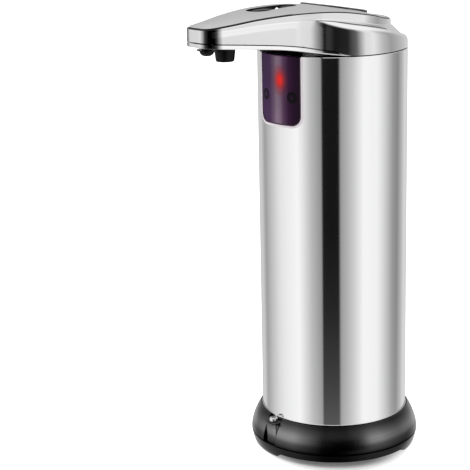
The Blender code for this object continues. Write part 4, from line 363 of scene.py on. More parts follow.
# Plain finishes: colour, roughness, metal, grain size, relief and mottling
FINISHES = {
    "satin_silver_lacquer": ((0.56, 0.56, 0.565), 0.42, 0.85, 2600.0, 0.10, 0.02),
    "panel_black_gloss": ((0.006, 0.006, 0.007), 0.16, 0.0, 1200.0, 0.03, 0.10),
    "outlet_black": ((0.003, 0.003, 0.003), 0.22, 0.0, 1400.0, 0.06, 0.10),
    "soft_black": ((0.013, 0.013, 0.013), 0.38, 0.0, 1400.0, 0.12, 0.12),
    "screw_plate": ((0.70, 0.70, 0.71), 0.22, 1.0, 1800.0, 0.10, 0.05),
    "bezel_pale_plastic": ((0.97, 0.86, 0.94), 0.25, 0.0, 1200.0, 0.05, 0.04),
    "inner_black_moulding": ((0.02, 0.02, 0.021), 0.45),
    "milky_moulding": ((0.80, 0.81, 0.79), 0.35),
    "white_acetal_moulding": ((0.78, 0.78, 0.75), 0.32),
    "clear_silicone_hose": ((0.74, 0.76, 0.77), 0.25),
    "circuit_board_mask": ((0.03, 0.012, 0.05), 0.35, 0.0, 700.0, 0.2, 0.2),
    "green_board_mask": ((0.02, 0.15, 0.06), 0.32, 0.0, 700.0, 0.2, 0.2),
    "drawn_steel_can": ((0.55, 0.55, 0.56), 0.28, 1.0),
    "machined_brass": ((0.70, 0.50, 0.21), 0.25, 1.0),
    "dark_cell_wrap": ((0.10, 0.11, 0.13), 0.3, 0.4),
    "matte_black_rubber": ((0.013, 0.013, 0.013), 0.6),
    "dark_eye_lens": ((0.006, 0.004, 0.008), 0.12)}
# Metal, grain size, relief and mottling where the table gives none
PLAIN_GRAIN = (0.0, 900.0, 0.15, 0.08)
SPECULAR = {"panel_black_gloss": 0.02, "outlet_black": 0.12}
# Colour, strength and roughness
LAMPS = {"status_lens_painted_highlight_glow": ((0.95, 0.95, 0.95), 1.6, 0.1), "red_lamp": ((1.0, 0.04, 0.03), 2.0, 0.2)}
LAMP_GRAIN = 300.0
LAMP_SHADE = 0.9
# The model's own pieces by their finish
DRESSED = {
    "screw_plate": "head_screw_1 head_screw_2 top_contact_1 door_contact_1 contact_spring_1 top_contact_2 "
                   "door_contact_2 contact_spring_2 power_switch amount_switch",
    "inner_black_moulding": "battery_holder top_frame",
    "milky_moulding": "soap_tank tank_lid fill_neck",
    "white_acetal_moulding": "pump_housing pump_cover pump_drive_gear pump_idler_gear reduction_wheel",
    "clear_silicone_hose": "outlet_tube suction_tube",
    "circuit_board_mask": "sensor_board",
    "green_board_mask": "control_board button_board",
    "drawn_steel_can": "motor",
    "machined_brass": "motor_pinion",
    "dark_cell_wrap": "battery_cell_1 battery_cell_2 battery_cell_3 battery_cell_4",
    "matte_black_rubber": "tank_gasket cap_seal wire_lead foot_pad_1 foot_pad_2 foot_pad_3 foot_pad_4",
    "dark_eye_lens": "ir_emitter ir_receiver",
    "soft_black": "latch_tab",
    "red_lamp": "indicator_led"}
NOISE_RANGE = (0.3, 0.7)
FINE_DETAIL = 3.0
BROAD_GRAIN = 60.0
GLOSS_SHARES = (0.85, 1.15)
RELIEF_DEPTH = 0.00003
WHITE = (1.0, 1.0, 1.0, 1.0)
HALF_TURN = 180
# Places of the colours among the sockets of a mixing node
MIX_FIRST = 6
MIX_SECOND = 7
MIX_COLOUR = 2
# Colour, roughness and metal; then the grain (its size, stretch and detail), and the tints and the
# gloss that it swings between
STEEL = ((0.80, 0.80, 0.805), 0.07, 1.0)
STEEL_GRAIN = (240.0, (1.0, 1.0, 0.012), 4.0)
STEEL_TINTS = ((0.785, 0.785, 0.79), (0.815, 0.815, 0.82))
STEEL_GLOSS = (0.055, 0.085)
CHROME = ((0.82, 0.82, 0.825), 0.06, 1.0)
CHROME_GRAIN = 45.0
CHROME_TINTS = ((0.81, 0.81, 0.815), (0.83, 0.83, 0.835))
CHROME_GLOSS = (0.05, 0.07)
BASE = ((0.1, 0.1, 0.1), 0.30, 1.0)
BASE_GRAIN = 1500.0
BASE_TINTS = ((0.9,) * 3, (1.0,) * 3)
BASE_GLOSS = (0.17, 0.23)
BASE_RELIEF = 0.06
WINDOW_COLOUR = (0.11, 0.045, 0.16)
WINDOW_GRAIN = 70.0
WINDOW_TINTS = ((0.86,) * 3, (1.0,) * 3)
WINDOW_IOR = 1.49
WINDOW_CLEAR = 0.05
WINDOW_SPECULAR = 0.05


# Shapes

def at(x, y, z):
    """A point given round the sleeve's axis, in the model's frame."""
    return Vector((x, y + AXIS_Y, z))


def linked(name, shape):
    """An object made from a shape, with its faces turned outwards."""
    bmesh.ops.recalc_face_normals(shape, faces=shape.faces)
    mesh = bpy.data.meshes.new(name)
    shape.to_mesh(mesh)
    shape.free()
    made = bpy.data.objects.new(name, mesh)
    bpy.context.scene.collection.objects.link(made)
    return made


def baked(name, shape, finishes, replaced=(), tools=(), body="housing"):
    """Make a piece, apply its tools, each (shape, operation), and give it its finishes."""
    piece = linked(name, shape)
    helpers = []
    for tool, operation in tools:
        helper = linked("cutter", tool)
        helpers.append(helper)
        change = piece.modifiers.new("change", "BOOLEAN")
        change.operation = operation
        change.object = helper
        change.solver = "EXACT"
    if helpers:
        graph = bpy.context.evaluated_depsgraph_get()
        result = bpy.data.meshes.new_from_object(piece.evaluated_get(graph))
        result.name = name
        piece.modifiers.clear()
        piece.data = result
        for helper in helpers:
            bpy.data.objects.remove(helper, do_unlink=True)
        piece.data.materials.clear()
    for finish_name in finishes.split():
        piece.data.materials.append(finish(finish_name))
    piece.data.shade_smooth()
    piece.data.set_sharp_from_angle(angle=SMOOTH_ANGLE)
    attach(piece, body)
    if replaced:
        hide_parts(*replaced)
    return piece


def strip_faces(shape, rows, closed_rows=True, closed_points=True, dark=None):
    """Faces between rows of points; dark(row, place) picks those of the second finish."""
    row_count = len(rows)
    point_count = len(rows[0])
    for i in range(row_count if closed_rows else row_count - 1):
        here = rows[i]
        following = rows[(i + 1) % row_count]
        for j in range(point_count if closed_points else point_count - 1):
            k = (j + 1) % point_count
            face = shape.faces.new((here[j], here[k], following[k], following[j]))
            face.material_index = 1 if dark and dark(i, j) else 0


def lofted(sections, closed_points=True, dark=None):
    shape = bmesh.new()
    rows = [[shape.verts.new(point) for point in section] for section in sections]
    strip_faces(shape, rows, closed_points=closed_points, dark=dark)
    bmesh.ops.remove_doubles(shape, verts=shape.verts, dist=MERGE)
    spare = [edge for edge in shape.edges if not edge.link_faces]
    bmesh.ops.delete(shape, geom=spare, context="EDGES")
    return shape


def turned(profile, steps, centre=(0.0, 0.0), moved=None, dark=None):
    """Revolve a closed (radius, height) outline about an upright axis, or a moved one."""
    sections = []
    for i in range(steps):
        angle = 2 * pi * i / steps
        section = []
        for radius, height in profile:
            x = centre[0] + radius * sin(angle)
            y = centre[1] - radius * cos(angle)
            section.append(moved @ Vector((x, y, height)) if moved else at(x, y, height))
        sections.append(section)
    return lofted(sections, dark=dark)


def stepped(*values):
    """Outline whose radius and height change by turns: radius, height, radius and so on."""
    return [pair[::-1] if i % 2 else pair for i, pair in enumerate(zip(values, values[1:]))]


def rod(radius, bottom, top, steps, centre=(0.0, 0.0), moved=None):
    return turned(stepped(0.0, bottom, radius, top, 0.0), steps, centre, moved)


def prism(outline, bottom, top, turn=0.0):
    """Straight solid over a flat outline, turned about the sleeve's axis."""
    spun = [(x * cos(turn) - y * sin(turn), x * sin(turn) + y * cos(turn))
            for x, y in outline]
    return stacked([[at(x, y, z) for x, y in spun] for z in (bottom, top)])


def stacked(levels, closed_top=True):
    """Solid through a stack of outlines, each a list of points."""
    shape = bmesh.new()
    rows = [[shape.verts.new(point) for point in level] for level in levels]
    strip_faces(shape, rows, closed_rows=False)
    shape.faces.new(rows[0])
    if closed_top:
        shape.faces.new(rows[-1])
    return shape


def arc(centre_x, centre_y, radius, start, end, steps):
    """Points on an arc, angles from -Y towards +X."""
    points = []
    for i in range(steps + 1):
        angle = start + (end - start) * i / steps
        points.append((centre_x + radius * sin(angle), centre_y - radius * cos(angle)))
    return points


def quarter(steps):
    """Steps of a quarter turn, as 1 - cosine and 1 - sine."""
    angles = [pi / 2 * k / steps for k in range(steps + 1)]
    return [(1 - cos(angle), 1 - sin(angle)) for angle in angles]


def ellipse(half_x, half_y, centre_y=0.0, steps=SMALL_STEPS):
    return [(half_x * cos(2 * pi * i / steps),
             centre_y + half_y * sin(2 * pi * i / steps)) for i in range(steps)]


def rounded(profile, corners, steps=ROUND_EDGE_STEPS):
    """Replace listed corners of a closed outline by small arcs; corners maps index to radius."""
    points = []
    count = len(profile)
    for i, corner in enumerate(profile):
        size = corners.get(i)
        if not size:
            points.append(corner)
            continue
        here = Vector(corner)
        start = here + (Vector(profile[i - 1]) - here).normalized() * size
        end = here + (Vector(profile[(i + 1) % count]) - here).normalized() * size
        for k in range(steps + 1):
            t = k / steps
            points.append(tuple(start * (1 - t) ** 2 + here * 2 * t * (1 - t) + end * t ** 2))
    return points


def smooth_through(shares, scale_y):
    """A smooth height over Y through the given shares, by cubic pieces."""
    points = [(x * (SPOUT_REACH if x < 0 else SLEEVE_RADIUS), y * scale_y) for x, y in shares]
    slopes = []
    for i in range(len(points)):
        before = points[max(i - 1, 0)]
        after = points[min(i + 1, len(points) - 1)]
        slopes.append((after[1] - before[1]) / (after[0] - before[0]))

    def height(x):
        x = min(max(x, points[0][0]), points[-1][0])
        i = 0
        while i < len(points) - 2 and x > points[i + 1][0]:
            i += 1
        (x0, y0), (x1, y1) = points[i], points[i + 1]
        span = x1 - x0
        t = (x - x0) / span
        return (y0 + t * t * (3 - 2 * t) * (y1 - y0)
                + span * (t * (1 - t) ** 2 * slopes[i] - t * t * (1 - t) * slopes[i + 1]))

    return height


crease = smooth_through(CREASE_SHARES, HEAD_RISE)
under = smooth_through(UNDER_SHARES, NOSE_RISE)
shoulder = smooth_through(SHOULDER_SHARES, HEAD_RISE)
rim_foot = smooth_through(RIM_FOOT_SHARES, HEAD_RISE)


def plate_bottom(y):
    return GAP + under(y)


def plate_top(y):
    near = min(max((-y - SLEEVE_RADIUS / 2) / (SLEEVE_RADIUS / 2), 0.0), 1.0)
    return plate_bottom(y) + PLATE_WEB + (PLATE_EDGE - PLATE_WEB) * near


def crown(y):
    near_nose = min(max(-y / SPOUT_REACH, 0.0), 1.0)
    return CROWN + (NOSE_CROWN - CROWN) * near_nose


# Outline of the head: one station is (skirt point, rim point, spine Y, polar angle, on spout)

def side_angle():
    back = SPOUT_REACH - NOSE_CORNER
    lean = acos((RIM_RADIUS - NOSE_CORNER) / hypot(NOSE_FLAT, back))
    return atan2(NOSE_FLAT, back) + lean


SIDE = side_angle()
SLIDE = sqrt((SKIRT_RADIUS + FILLET_RADIUS) ** 2 - (RIM_RADIUS + FILLET_RADIUS) ** 2)


def rim_point(radius, polar):
    reach = radius / cos(SIDE - polar) if polar < SIDE else radius
    return (reach * sin(polar), -reach * cos(polar))


def spine_of(point):
    return min(point[1] + point[0] / tan(SIDE), 0.0)


def half_outline(inset):
    rim = RIM_RADIUS - inset
    skirt = SKIRT_RADIUS - inset
    corner = NOSE_CORNER - inset
    fillet = FILLET_RADIUS + inset
    nose_y = NOSE_CORNER - SPOUT_REACH
    nose = [(0.0, inset - SPOUT_REACH), (NOSE_FLAT / 2, inset - SPOUT_REACH)]
    nose += arc(NOSE_FLAT, nose_y, corner, 0.0, SIDE, NOSE_STEPS)
    stations = [(point, point, nose_y, 0.0, True) for point in nose]
    end = (rim * sin(SIDE) - SLIDE * cos(SIDE), -rim * cos(SIDE) - SLIDE * sin(SIDE))
    for i in range(1, LINE_STEPS + 1):
        point = tuple(between(nose[-1], end, i / LINE_STEPS))
        stations.append((point, point, spine_of(point), 0.0, True))
    meeting = SIDE - atan2(SLIDE, RIM_RADIUS + FILLET_RADIUS)
    centre_x = (SKIRT_RADIUS + FILLET_RADIUS) * sin(meeting)
    centre_y = -(SKIRT_RADIUS + FILLET_RADIUS) * cos(meeting)
    for i in range(1, FILLET_STEPS + 1):
        angle = SIDE + (meeting - SIDE) * i / FILLET_STEPS
        point = (centre_x - fillet * sin(angle), centre_y + fillet * cos(angle))
        polar = atan2(point[0], -point[1])
        inner = rim_point(rim, polar)
        stations.append((point, inner, spine_of(inner), polar, False))
    angles = [meeting + (PLATE_END - meeting) * i / BAND_STEPS for i in range(1, BAND_STEPS + 1)]
    angles += [PLATE_END + LIP_END * i / LIP_STEPS for i in range(1, LIP_STEPS + 1)]
    first = angles[-1]
    angles += [first + (pi - first) * i / SKIRT_STEPS for i in range(1, SKIRT_STEPS + 1)]
    for polar in angles:
        point = (skirt * sin(polar), -skirt * cos(polar))
        inner = rim_point(rim, polar)
        spine = spine_of(inner) if polar < SIDE else 0.0
        stations.append((point, inner, spine, polar, False))
    return stations


def whole_outline(inset):
    right = half_outline(inset)
    left = []
    for (sx, sy), (rx, ry), spine, polar, on_spout in reversed(right[1:-1]):
        left.append(((-sx, sy), (-rx, ry), spine, polar, on_spout))
    return right + left


def lifted(point, height):
    return at(point[0], point[1], HEAD_Z + height)


def between(start, end, share):
    return [a + (b - a) * share for a, b in zip(start, end)]


# Head

def lip_share(polar):
    """How much of the plate's lip still shows: it thins out behind the spout."""
    return min(max((PLATE_END + 2 * PLATE_STEP - polar) / (4 * PLATE_STEP), 0.0), 1.0)


def shell_bottom(station):
    """Foot of the shell: over the plate on the spout, blending down to the sleeve's seam."""
    over_plate = plate_top(station[0][1]) + GAP
    return GAP + (over_plate - GAP) * lip_share(station[3])


def drafted(outer, inner, width, rise):
    """Point of a wall that leans in as it rises; inner is width further in."""
    return between(outer, inner, rise * WALL_DRAFT / width)


def shell_section(outer, wall, rim, ledge):
    bottom = shell_bottom(outer)
    top = crease(outer[1][1])
    if outer[4]:
        skirt_top = bottom + WALL_SPLIT_SHARE * (top - bottom)
        foot = bottom + WALL_SPLIT_TOP_SHARE * (top - bottom)
        gap = 0.0
    else:
        skirt_top = shoulder(outer[0][1])
        foot = max(rim_foot(outer[1][1]), skirt_top + MIN_STEP)
        gap = dist(outer[0], outer[1])
    inward = min(SHOULDER_ROUND, gap * SHOULDER_LIMIT) / gap if gap > MERGE else 0.0
    outward = min(FOOT_ROUND, gap * FOOT_LIMIT) / gap if gap > MERGE else 0.0
    skirt = drafted(outer[0], wall[0], SHELL_WALL, skirt_top - bottom)
    section = [lifted(wall[0], bottom),
               lifted(between(outer[0], wall[0], SKIRT_EDGE / SHELL_WALL), bottom),
               lifted(outer[0], bottom + SKIRT_EDGE)]
    for fall, rest in quarter(SHOULDER_STEPS):
        section.append(lifted(between(skirt, outer[1], inward * fall), skirt_top - SHOULDER_ROUND * rest))
    slope = hypot(gap * (1 - outward - inward), foot - skirt_top)
    line = min(CREASE_WIDTH / slope, CREASE_LIMIT)
    section.append(lifted(between(skirt, outer[1], inward + (1 - outward - inward) * line),
                          skirt_top + (foot - skirt_top) * line))
    for fall, rest in quarter(FOOT_STEPS):
        rise = foot + FOOT_ROUND * fall
        target = drafted(outer[1], rim[1], RIM_WIDTH, rise - bottom)
        section.append(lifted(between(skirt, target, 1 - outward * rest), rise))
    target = drafted(outer[1], rim[1], RIM_WIDTH, top - RIM_DROP - bottom)
    for fall, rest in quarter(RIM_STEPS):
        point = between(target, rim[1], RIM_ROUND / RIM_WIDTH * fall)
        section.append(lifted(point, crease(point[1]) - RIM_DROP - RIM_ROUND * rest))
    under_ledge = crease(ledge[1][1]) - COVER_THICKNESS - GAP - LEDGE_THICKNESS
    ledge_top = crease(rim[1][1]) - COVER_THICKNESS - GAP
    inner_foot = min(foot - SHELL_WALL, under_ledge - MIN_STEP)
    inner_skirt = max(min(skirt_top - SHELL_WALL, inner_foot - MIN_STEP), bottom + MIN_STEP)
    for point, height in ((rim[1], crease(rim[1][1]) - RIM_DROP), (rim[1], ledge_top),
                          (ledge[1], ledge_top), (ledge[1], under_ledge), (wall[1], under_ledge),
                          (wall[1], inner_foot), (wall[0], inner_skirt)):
        section.append(lifted(point, height))
    return section


def head_shell():
    outlines = [whole_outline(inset) for inset in (0.0, SHELL_WALL, RIM_WIDTH, LEDGE_WIDTH)]
    angles = [station[3] for station in outlines[0]]

    # painted shade: the recess under the seam and a line along the shoulder's crease take the black finish
    def dark(i, j):
        return j in RECESS_PAINTED_SHADE_SIDES or (j == CREASE_PAINTED_SHADE_SIDE and CREASE_PAINTED_SHADE_START < angles[i] < CREASE_PAINTED_SHADE_END)

    shape = lofted([shell_section(*stations) for stations in zip(*outlines)], dark=dark)
    baked("head_shell_polished", shape, "chrome_plate soft_black", ("head_shell",))


def panel_outline(grow):
    front = PANEL_FRONT_RADIUS + grow
    rear = PANEL_REAR_RADIUS + grow
    front_y = PANEL_FRONT_Y + PANEL_FRONT_RADIUS
    rear_y = PANEL_REAR_Y - PANEL_REAR_RADIUS
    lean = acos((PANEL_REAR_RADIUS - PANEL_FRONT_RADIUS) / (rear_y - front_y))
    points = arc(0.0, front_y, front, -lean, lean, SMALL_STEPS)
    return points + arc(0.0, rear_y, rear, lean, 2 * pi - lean, SMALL_STEPS)


def head_cover():
    """Crowned plate: over the top from the spine, down the rim and back underneath."""
    rings = [(i / COVER_RINGS * (1 - COVER_EDGE / RIM_RADIUS), 0.0) for i in range(COVER_RINGS + 1)]
    rings.append((1.0, COVER_EDGE))
    rings += [(share, COVER_THICKNESS) for share in COVER_UNDER_SHARES]
    sections = []
    for station in whole_outline(RIM_WIDTH + SEAM_GAP):
        edge, spine = station[1:3]
        section = []
        for share, drop in rings:
            point = between((0.0, spine), edge, share)
            rise = crown(spine) * (1 - share * share)
            section.append(lifted(point, crease(point[1]) + rise - drop))
        sections.append(section)
    tools = [(prism(panel_outline(GAP), HEAD_Z, HEAD_Z + 2 * HEAD_RISE), CUT),
             (rod(CAP_RADIUS + GAP, -CAP_DISC - GAP, OVERRUN, DISC_STEPS, moved=cap_frame()), CUT)]
    cover = baked("head_cover_satin", lofted(sections, False), "satin_silver_lacquer soft_black",
                  ("head_top_cover",), tools)
    # painted shade: the cover's steep faces, at its edge and in its holes, take the black finish
    for face in cover.data.polygons:
        if abs(face.normal.z) < EDGE_NORMAL:
            face.material_index = 1


def cap_frame():
    """The fill cap's own tilted frame, with its plane at Z = 0."""
    return (Matrix.Translation(at(0.0, CAP_CENTRE_Y, HEAD_Z + CAP_PLANE))
            @ Matrix.Rotation(-CAP_TILT, 4, "X"))


def fill_cap():
    bottom = -CAP_DISC
    middle = bottom - CAP_GROOVE_DROP
    seat = CAP_PLUG_RADIUS - CAP_GROOVE_DEPTH
    profile = stepped(0.0, bottom - CAP_PLUG_LENGTH, CAP_PLUG_RADIUS, middle - CAP_GROOVE_HALF,
                      seat, middle + CAP_GROOVE_HALF, CAP_PLUG_RADIUS, bottom,
                      CAP_RADIUS, -CAP_SINK - CAP_LIGHT_SIDE)
    profile += [(CAP_RADIUS, -CAP_SINK), (0.0, CAP_DOME - CAP_SINK)]
    profile = rounded(profile, {9: CAP_CHAMFER})
    # painted shade on the cap's lower side
    shape = turned(profile, DISC_STEPS, moved=cap_frame(), dark=lambda i, j: j in CAP_PAINTED_SHADE_SIDES)
    baked("fill_cap_satin", shape, "satin_silver_lacquer soft_black", ("fill_cap",), body="cap")


def plate_edge_point(station, inset):
    point, polar = station[0], station[3]
    if polar < PLATE_END + LIP_BACK:
        return point
    radius = SKIRT_RADIUS - SHELL_WALL - GAP - inset
    return (copysign(radius * sin(polar), point[0]), -radius * cos(polar))


def head_plate():
    sections = []
    edges = quarter(RIM_STEPS)
    outlines = [whole_outline(PLATE_ROUND * fall) for fall, _ in edges]
    for stations in zip(*outlines):
        edge = plate_edge_point(stations[0], 0.0)
        spine = (0.0, stations[0][2])
        lip = lip_share(stations[0][3]) or 1.0
        low = plate_bottom(edge[1])
        section = [lifted(spine, plate_top(spine[1])),
                   lifted(edge, low + (plate_top(edge[1]) - low) * lip)]
        for station, (fall, rest) in zip(stations, edges):
            point = plate_edge_point(station, PLATE_ROUND * fall)
            section.append(lifted(point, plate_bottom(point[1]) + PLATE_ROUND * lip * rest))
        for share in PLATE_UNDER_SHARES:
            point = between(spine, plate_edge_point(stations[-1], PLATE_ROUND), share)
            section.append(lifted(point, plate_bottom(point[1])))
        sections.append(section)
    holes = ((0.0, NOZZLE_Y, NOZZLE_STEM_RADIUS + GAP), (0.0, VALVE_Y, VALVE_STEM_RADIUS + GAP),
             (SUCTION_X, SUCTION_Y, SUCTION_HOLE_RADIUS), (LEAD_X, LEAD_Y, LEAD_HOLE_RADIUS),
             (HEAD_SCREW_X, HEAD_SCREW_Y, HEAD_SCREW_HOLE), (-HEAD_SCREW_X, HEAD_SCREW_Y, HEAD_SCREW_HOLE))
    tools = [(rod(radius, HEAD_Z - OVERRUN, HEAD_Z + HEAD_RISE, TINY_STEPS, (x, y)), CUT)
             for x, y, radius in holes]
    neck = rod(NECK_OUTER + GAP, -HEAD_RISE - OVERRUN, -OVERRUN, DISC_STEPS, moved=cap_frame())
    tools.append((neck, CUT))
    baked("head_plate_polished", lofted(sections, False), "chrome_plate", ("head_underplate",), tools)


def button_panel():
    top = HEAD_Z + PANEL_TOP
    flange = HEAD_Z + PANEL_FLANGE_TOP
    tools = [(prism(panel_outline(PANEL_FLANGE_WIDTH), flange - PANEL_LEG, flange), JOIN),
             (prism(panel_outline(-PANEL_WALL), flange - 2 * PANEL_LEG, top - PANEL_PLATE), CUT),
             (rod(LENS_RADIUS + GAP, HEAD_Z, top + OVERRUN, TINY_STEPS, (0.0, LENS_Y)), CUT)]
    for button in BUTTONS:
        y, length, width = button[1:4]
        tools.append((prism(ellipse(width + GAP, length + GAP, y), HEAD_Z, top + OVERRUN), CUT))
    levels = [(0.0, flange - PANEL_LEG)]
    levels += [(-RIM_ROUND * fall, top - RIM_ROUND * rest) for fall, rest in quarter(RIM_STEPS)]
    shape = stacked([[at(x, y, z) for x, y in panel_outline(grow)] for grow, z in levels])
    baked("button_panel_gloss", shape, "panel_black_gloss", ("button_panel",), tools)


def buttons():
    """Crowned oval caps, each with its flange and stem."""
    flange_top = HEAD_Z + PANEL_TOP - PANEL_PLATE - GAP
    flange_bottom = flange_top - BUTTON_FLANGE
    stem = BUTTON_STEM_RADIUS
    for name, y, length, width, top in BUTTONS:
        wide, long = width + BUTTON_FLANGE_WIDTH, length + BUTTON_FLANGE_WIDTH
        side = HEAD_Z + top - BUTTON_CROWN
        levels = [(stem, stem, HEAD_Z + SWITCH_TOP + BUTTON_TRAVEL + GAP), (stem, stem, flange_bottom),
                  (wide, long, flange_bottom), (wide, long, flange_top),
                  (width, length, flange_top), (width, length, side)]
        for fall, rest in quarter(BUTTON_RINGS)[1:-1]:
            levels.append((width * (1 - fall), length * (1 - fall), side + BUTTON_CROWN * (1 - rest)))
        rings = [[at(px, py + y, z) for px, py in ellipse(half_x, half_y)] for half_x, half_y, z in levels]
        shape = stacked(rings, closed_top=False)
        last = [v for v in shape.verts if abs(v.co.z - rings[-1][0].z) < MERGE]
        peak = shape.verts.new(at(0.0, y, HEAD_Z + top))
        for edge in {e for v in last for e in v.link_edges if e.other_vert(v) in last}:
            shape.faces.new((*edge.verts, peak))
        baked(name + "_cap", shape, "panel_black_gloss", (name,), body=name)


def status_lens():
    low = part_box("status_lens")[0][2]
    top = HEAD_Z + PANEL_TOP + LENS_PROUD
    dome = [(LENS_RADIUS * (1 - fall), top - LENS_RADIUS * rest)
            for fall, rest in quarter(NOZZLE_STEPS)[:-1]]
    profile = [(0.0, low), (LENS_RADIUS, low), *dome, (0.0, top)]
    # Painted highlight: the lens glows white.
    baked("status_lens_dome", turned(profile, TINY_STEPS, (0.0, LENS_Y)), "status_lens_painted_highlight_glow", ("status_lens",))


def seats(y, lip, flange):
    """Heights of the underplate's two faces at a fitting in its hole."""
    return HEAD_Z + plate_bottom(y + lip) - GAP, HEAD_Z + plate_top(y - flange) + GAP


def nozzle():
    low_seat, top_seat = seats(NOZZLE_Y, NOZZLE_LIP_RADIUS, NOZZLE_FLANGE_RADIUS)
    dome_top = low_seat - NOZZLE_LIP
    tip = dome_top - NOZZLE_DROP
    profile = [(NOZZLE_BORE, top_seat + NOZZLE_FLANGE), (NOZZLE_BORE, tip + NOZZLE_BORE / 4)]
    for fall, rest in quarter(NOZZLE_STEPS)[1:-1]:
        profile.append((NOZZLE_BORE + (NOZZLE_RADIUS - NOZZLE_BORE) * (1 - rest),
                        dome_top - NOZZLE_DROP * (1 - fall)))
    profile += stepped(NOZZLE_RADIUS, dome_top, NOZZLE_LIP_RADIUS, low_seat, NOZZLE_STEM_RADIUS, top_seat,
                       NOZZLE_FLANGE_RADIUS, top_seat + NOZZLE_FLANGE)
    baked("nozzle_rubber", turned(profile, SMALL_STEPS, (0.0, NOZZLE_Y)), "outlet_black", ("nozzle",))


def valve_cup():
    low_seat, top_seat = seats(VALVE_Y, VALVE_TOP_RADIUS, VALVE_FLANGE_RADIUS)
    bottom = low_seat - VALVE_DROP
    profile = [(0.0, bottom), (VALVE_BOTTOM_RADIUS, bottom)]
    profile += stepped(VALVE_TOP_RADIUS, low_seat, VALVE_STEM_RADIUS, top_seat,
                       VALVE_FLANGE_RADIUS, top_seat + VALVE_FLANGE, 0.0)
    profile = rounded(profile, {1: VALVE_EDGE, 2: VALVE_EDGE / 2})
    baked("valve_cup_rubber", turned(profile, SMALL_STEPS, (0.0, VALVE_Y)), "outlet_black",
          ("valve_cup",))


# Sleeve and window

def window_block(inset, top):
    """Solid through the sleeve's front with the window's outline."""
    half = WINDOW_HALF_WIDTH - inset
    corner = WINDOW_CORNER - inset
    bottom = inset - WINDOW_HEIGHT
    points = []
    for side, start in ((-1, -pi / 2), (1, 0.0)):
        points += arc(side * (half - corner), bottom + corner, corner, start, start + pi / 2,
                      WINDOW_CORNER_STEPS)
    points += [(half, top), (-half, top)]
    return stacked([[at(x + WINDOW_SHIFT, y, HEAD_Z + z) for x, z in points]
                    for y in (0.0, -2 * SLEEVE_RADIUS)])


def sleeve():
    """Steel tube with a softened top edge and a fine rolled hem just above the base."""
    hem = RING_TOP + HEM_RISE
    profile = stepped(SLEEVE_BORE, SLEEVE_Z, SLEEVE_RADIUS, hem - HEM_RADIUS)
    profile += arc(SLEEVE_RADIUS, hem, HEM_RADIUS, 0.0, pi, HEM_STEPS)[1:-1]
    profile += [(SLEEVE_RADIUS, hem + HEM_RADIUS), (SLEEVE_RADIUS, HEAD_Z - SLEEVE_EDGE),
                (SLEEVE_RADIUS - SLEEVE_EDGE, HEAD_Z), (SLEEVE_BORE, HEAD_Z)]
    baked("sleeve_polished", turned(profile, ROUND_STEPS), "polished_steel_grain", ("outer_sleeve",),
          [(window_block(0.0, OVERRUN), CUT)])


def window():
    low = HEAD_Z - 2 * WINDOW_HEIGHT
    high = HEAD_Z + OVERRUN

    def tube(inner, outer):
        return turned(stepped(inner, low, outer, high, inner), ROUND_STEPS)

    lens = tube(SLEEVE_RADIUS - WINDOW_THICKNESS, SLEEVE_RADIUS)
    baked("window_lens", lens, "window_violet", ("sensor_window",), [(window_block(GAP, -GAP), KEEP)])
    for name, tint, (outer, inner, proud) in (("window_bezel", "bezel_pale_plastic", BEZEL),
                                              ("window_bezel_line", "soft_black", BEZEL_LINE)):
        tools = [(window_block(outer, -GAP), KEEP), (window_block(inner, OVERRUN), CUT)]
        baked(name, tube(SLEEVE_RADIUS, SLEEVE_RADIUS + proud), tint, tools=tools)


# Base

def ring_flare(share):
    top = SLEEVE_RADIUS + GAP + RING_TOP_LIP
    return top + (RING_RADIUS - top) * (1 - share ** RING_FLARE_POWER)


def base_ring():
    lip = SLEEVE_RADIUS + GAP
    spigot = SLEEVE_BORE - GAP
    height = RING_TOP - RING_Z
    profile = [(RING_RADIUS - RING_EDGE, RING_Z)]
    for i in range(RING_CURVE_STEPS):
        share = max(i / RING_CURVE_STEPS, RING_EDGE / height)
        profile.append((ring_flare(share), RING_Z + share * height))
    profile += stepped(ring_flare(1.0), RING_TOP, lip, SHELF_Z, spigot, SHELF_Z + SPIGOT_HEIGHT,
                       spigot - SPIGOT_WALL, SHELF_Z, RING_WEB_BORE, SHELF_Z - RING_WEB,
                       RING_RADIUS - RING_WALL, RING_Z)
    half = COLUMN_HALF_WIDTH + GAP
    notch = ((-half, -2 * RING_RADIUS), (half, -2 * RING_RADIUS), (half, -SLEEVE_BORE - GAP),
             (-half, -SLEEVE_BORE - GAP))
    baked("base_ring_satin", turned(profile, ROUND_STEPS), "base_black_satin", ("base_ring",),
          [(prism(notch, RING_Z - OVERRUN, RING_TOP + OVERRUN, LATCH_ANGLE), CUT)])


def foot_gap(centre):
    """Wedge that opens the foot ring, wider at the floor."""
    slope = FOOT_GAP_FLARE / FOOT_HEIGHT
    levels = []
    for height in (FOOT_Z - OVERRUN, COVER_Z):
        half = FOOT_GAP_ANGLE / 2 + (COVER_Z - height) * slope
        outline = arc(0.0, 0.0, RING_RADIUS + OVERRUN, centre - half, centre + half, SMALL_STEPS)
        outline += arc(0.0, 0.0, RING_RADIUS - 2 * FOOT_WIDTH, centre + half, centre - half, SMALL_STEPS)
        levels.append([at(x, y, height) for x, y in outline])
    return stacked(levels)


def pad_seat(angle):
    radius = RING_RADIUS - 2 * COVER_RIM_TAPER - FOOT_WIDTH / 2
    centre = (radius * sin(angle), -radius * cos(angle))
    return rod(PAD_RADIUS + GAP, FOOT_Z - OVERRUN, PAD_SEAT_TOP, TINY_STEPS, centre)


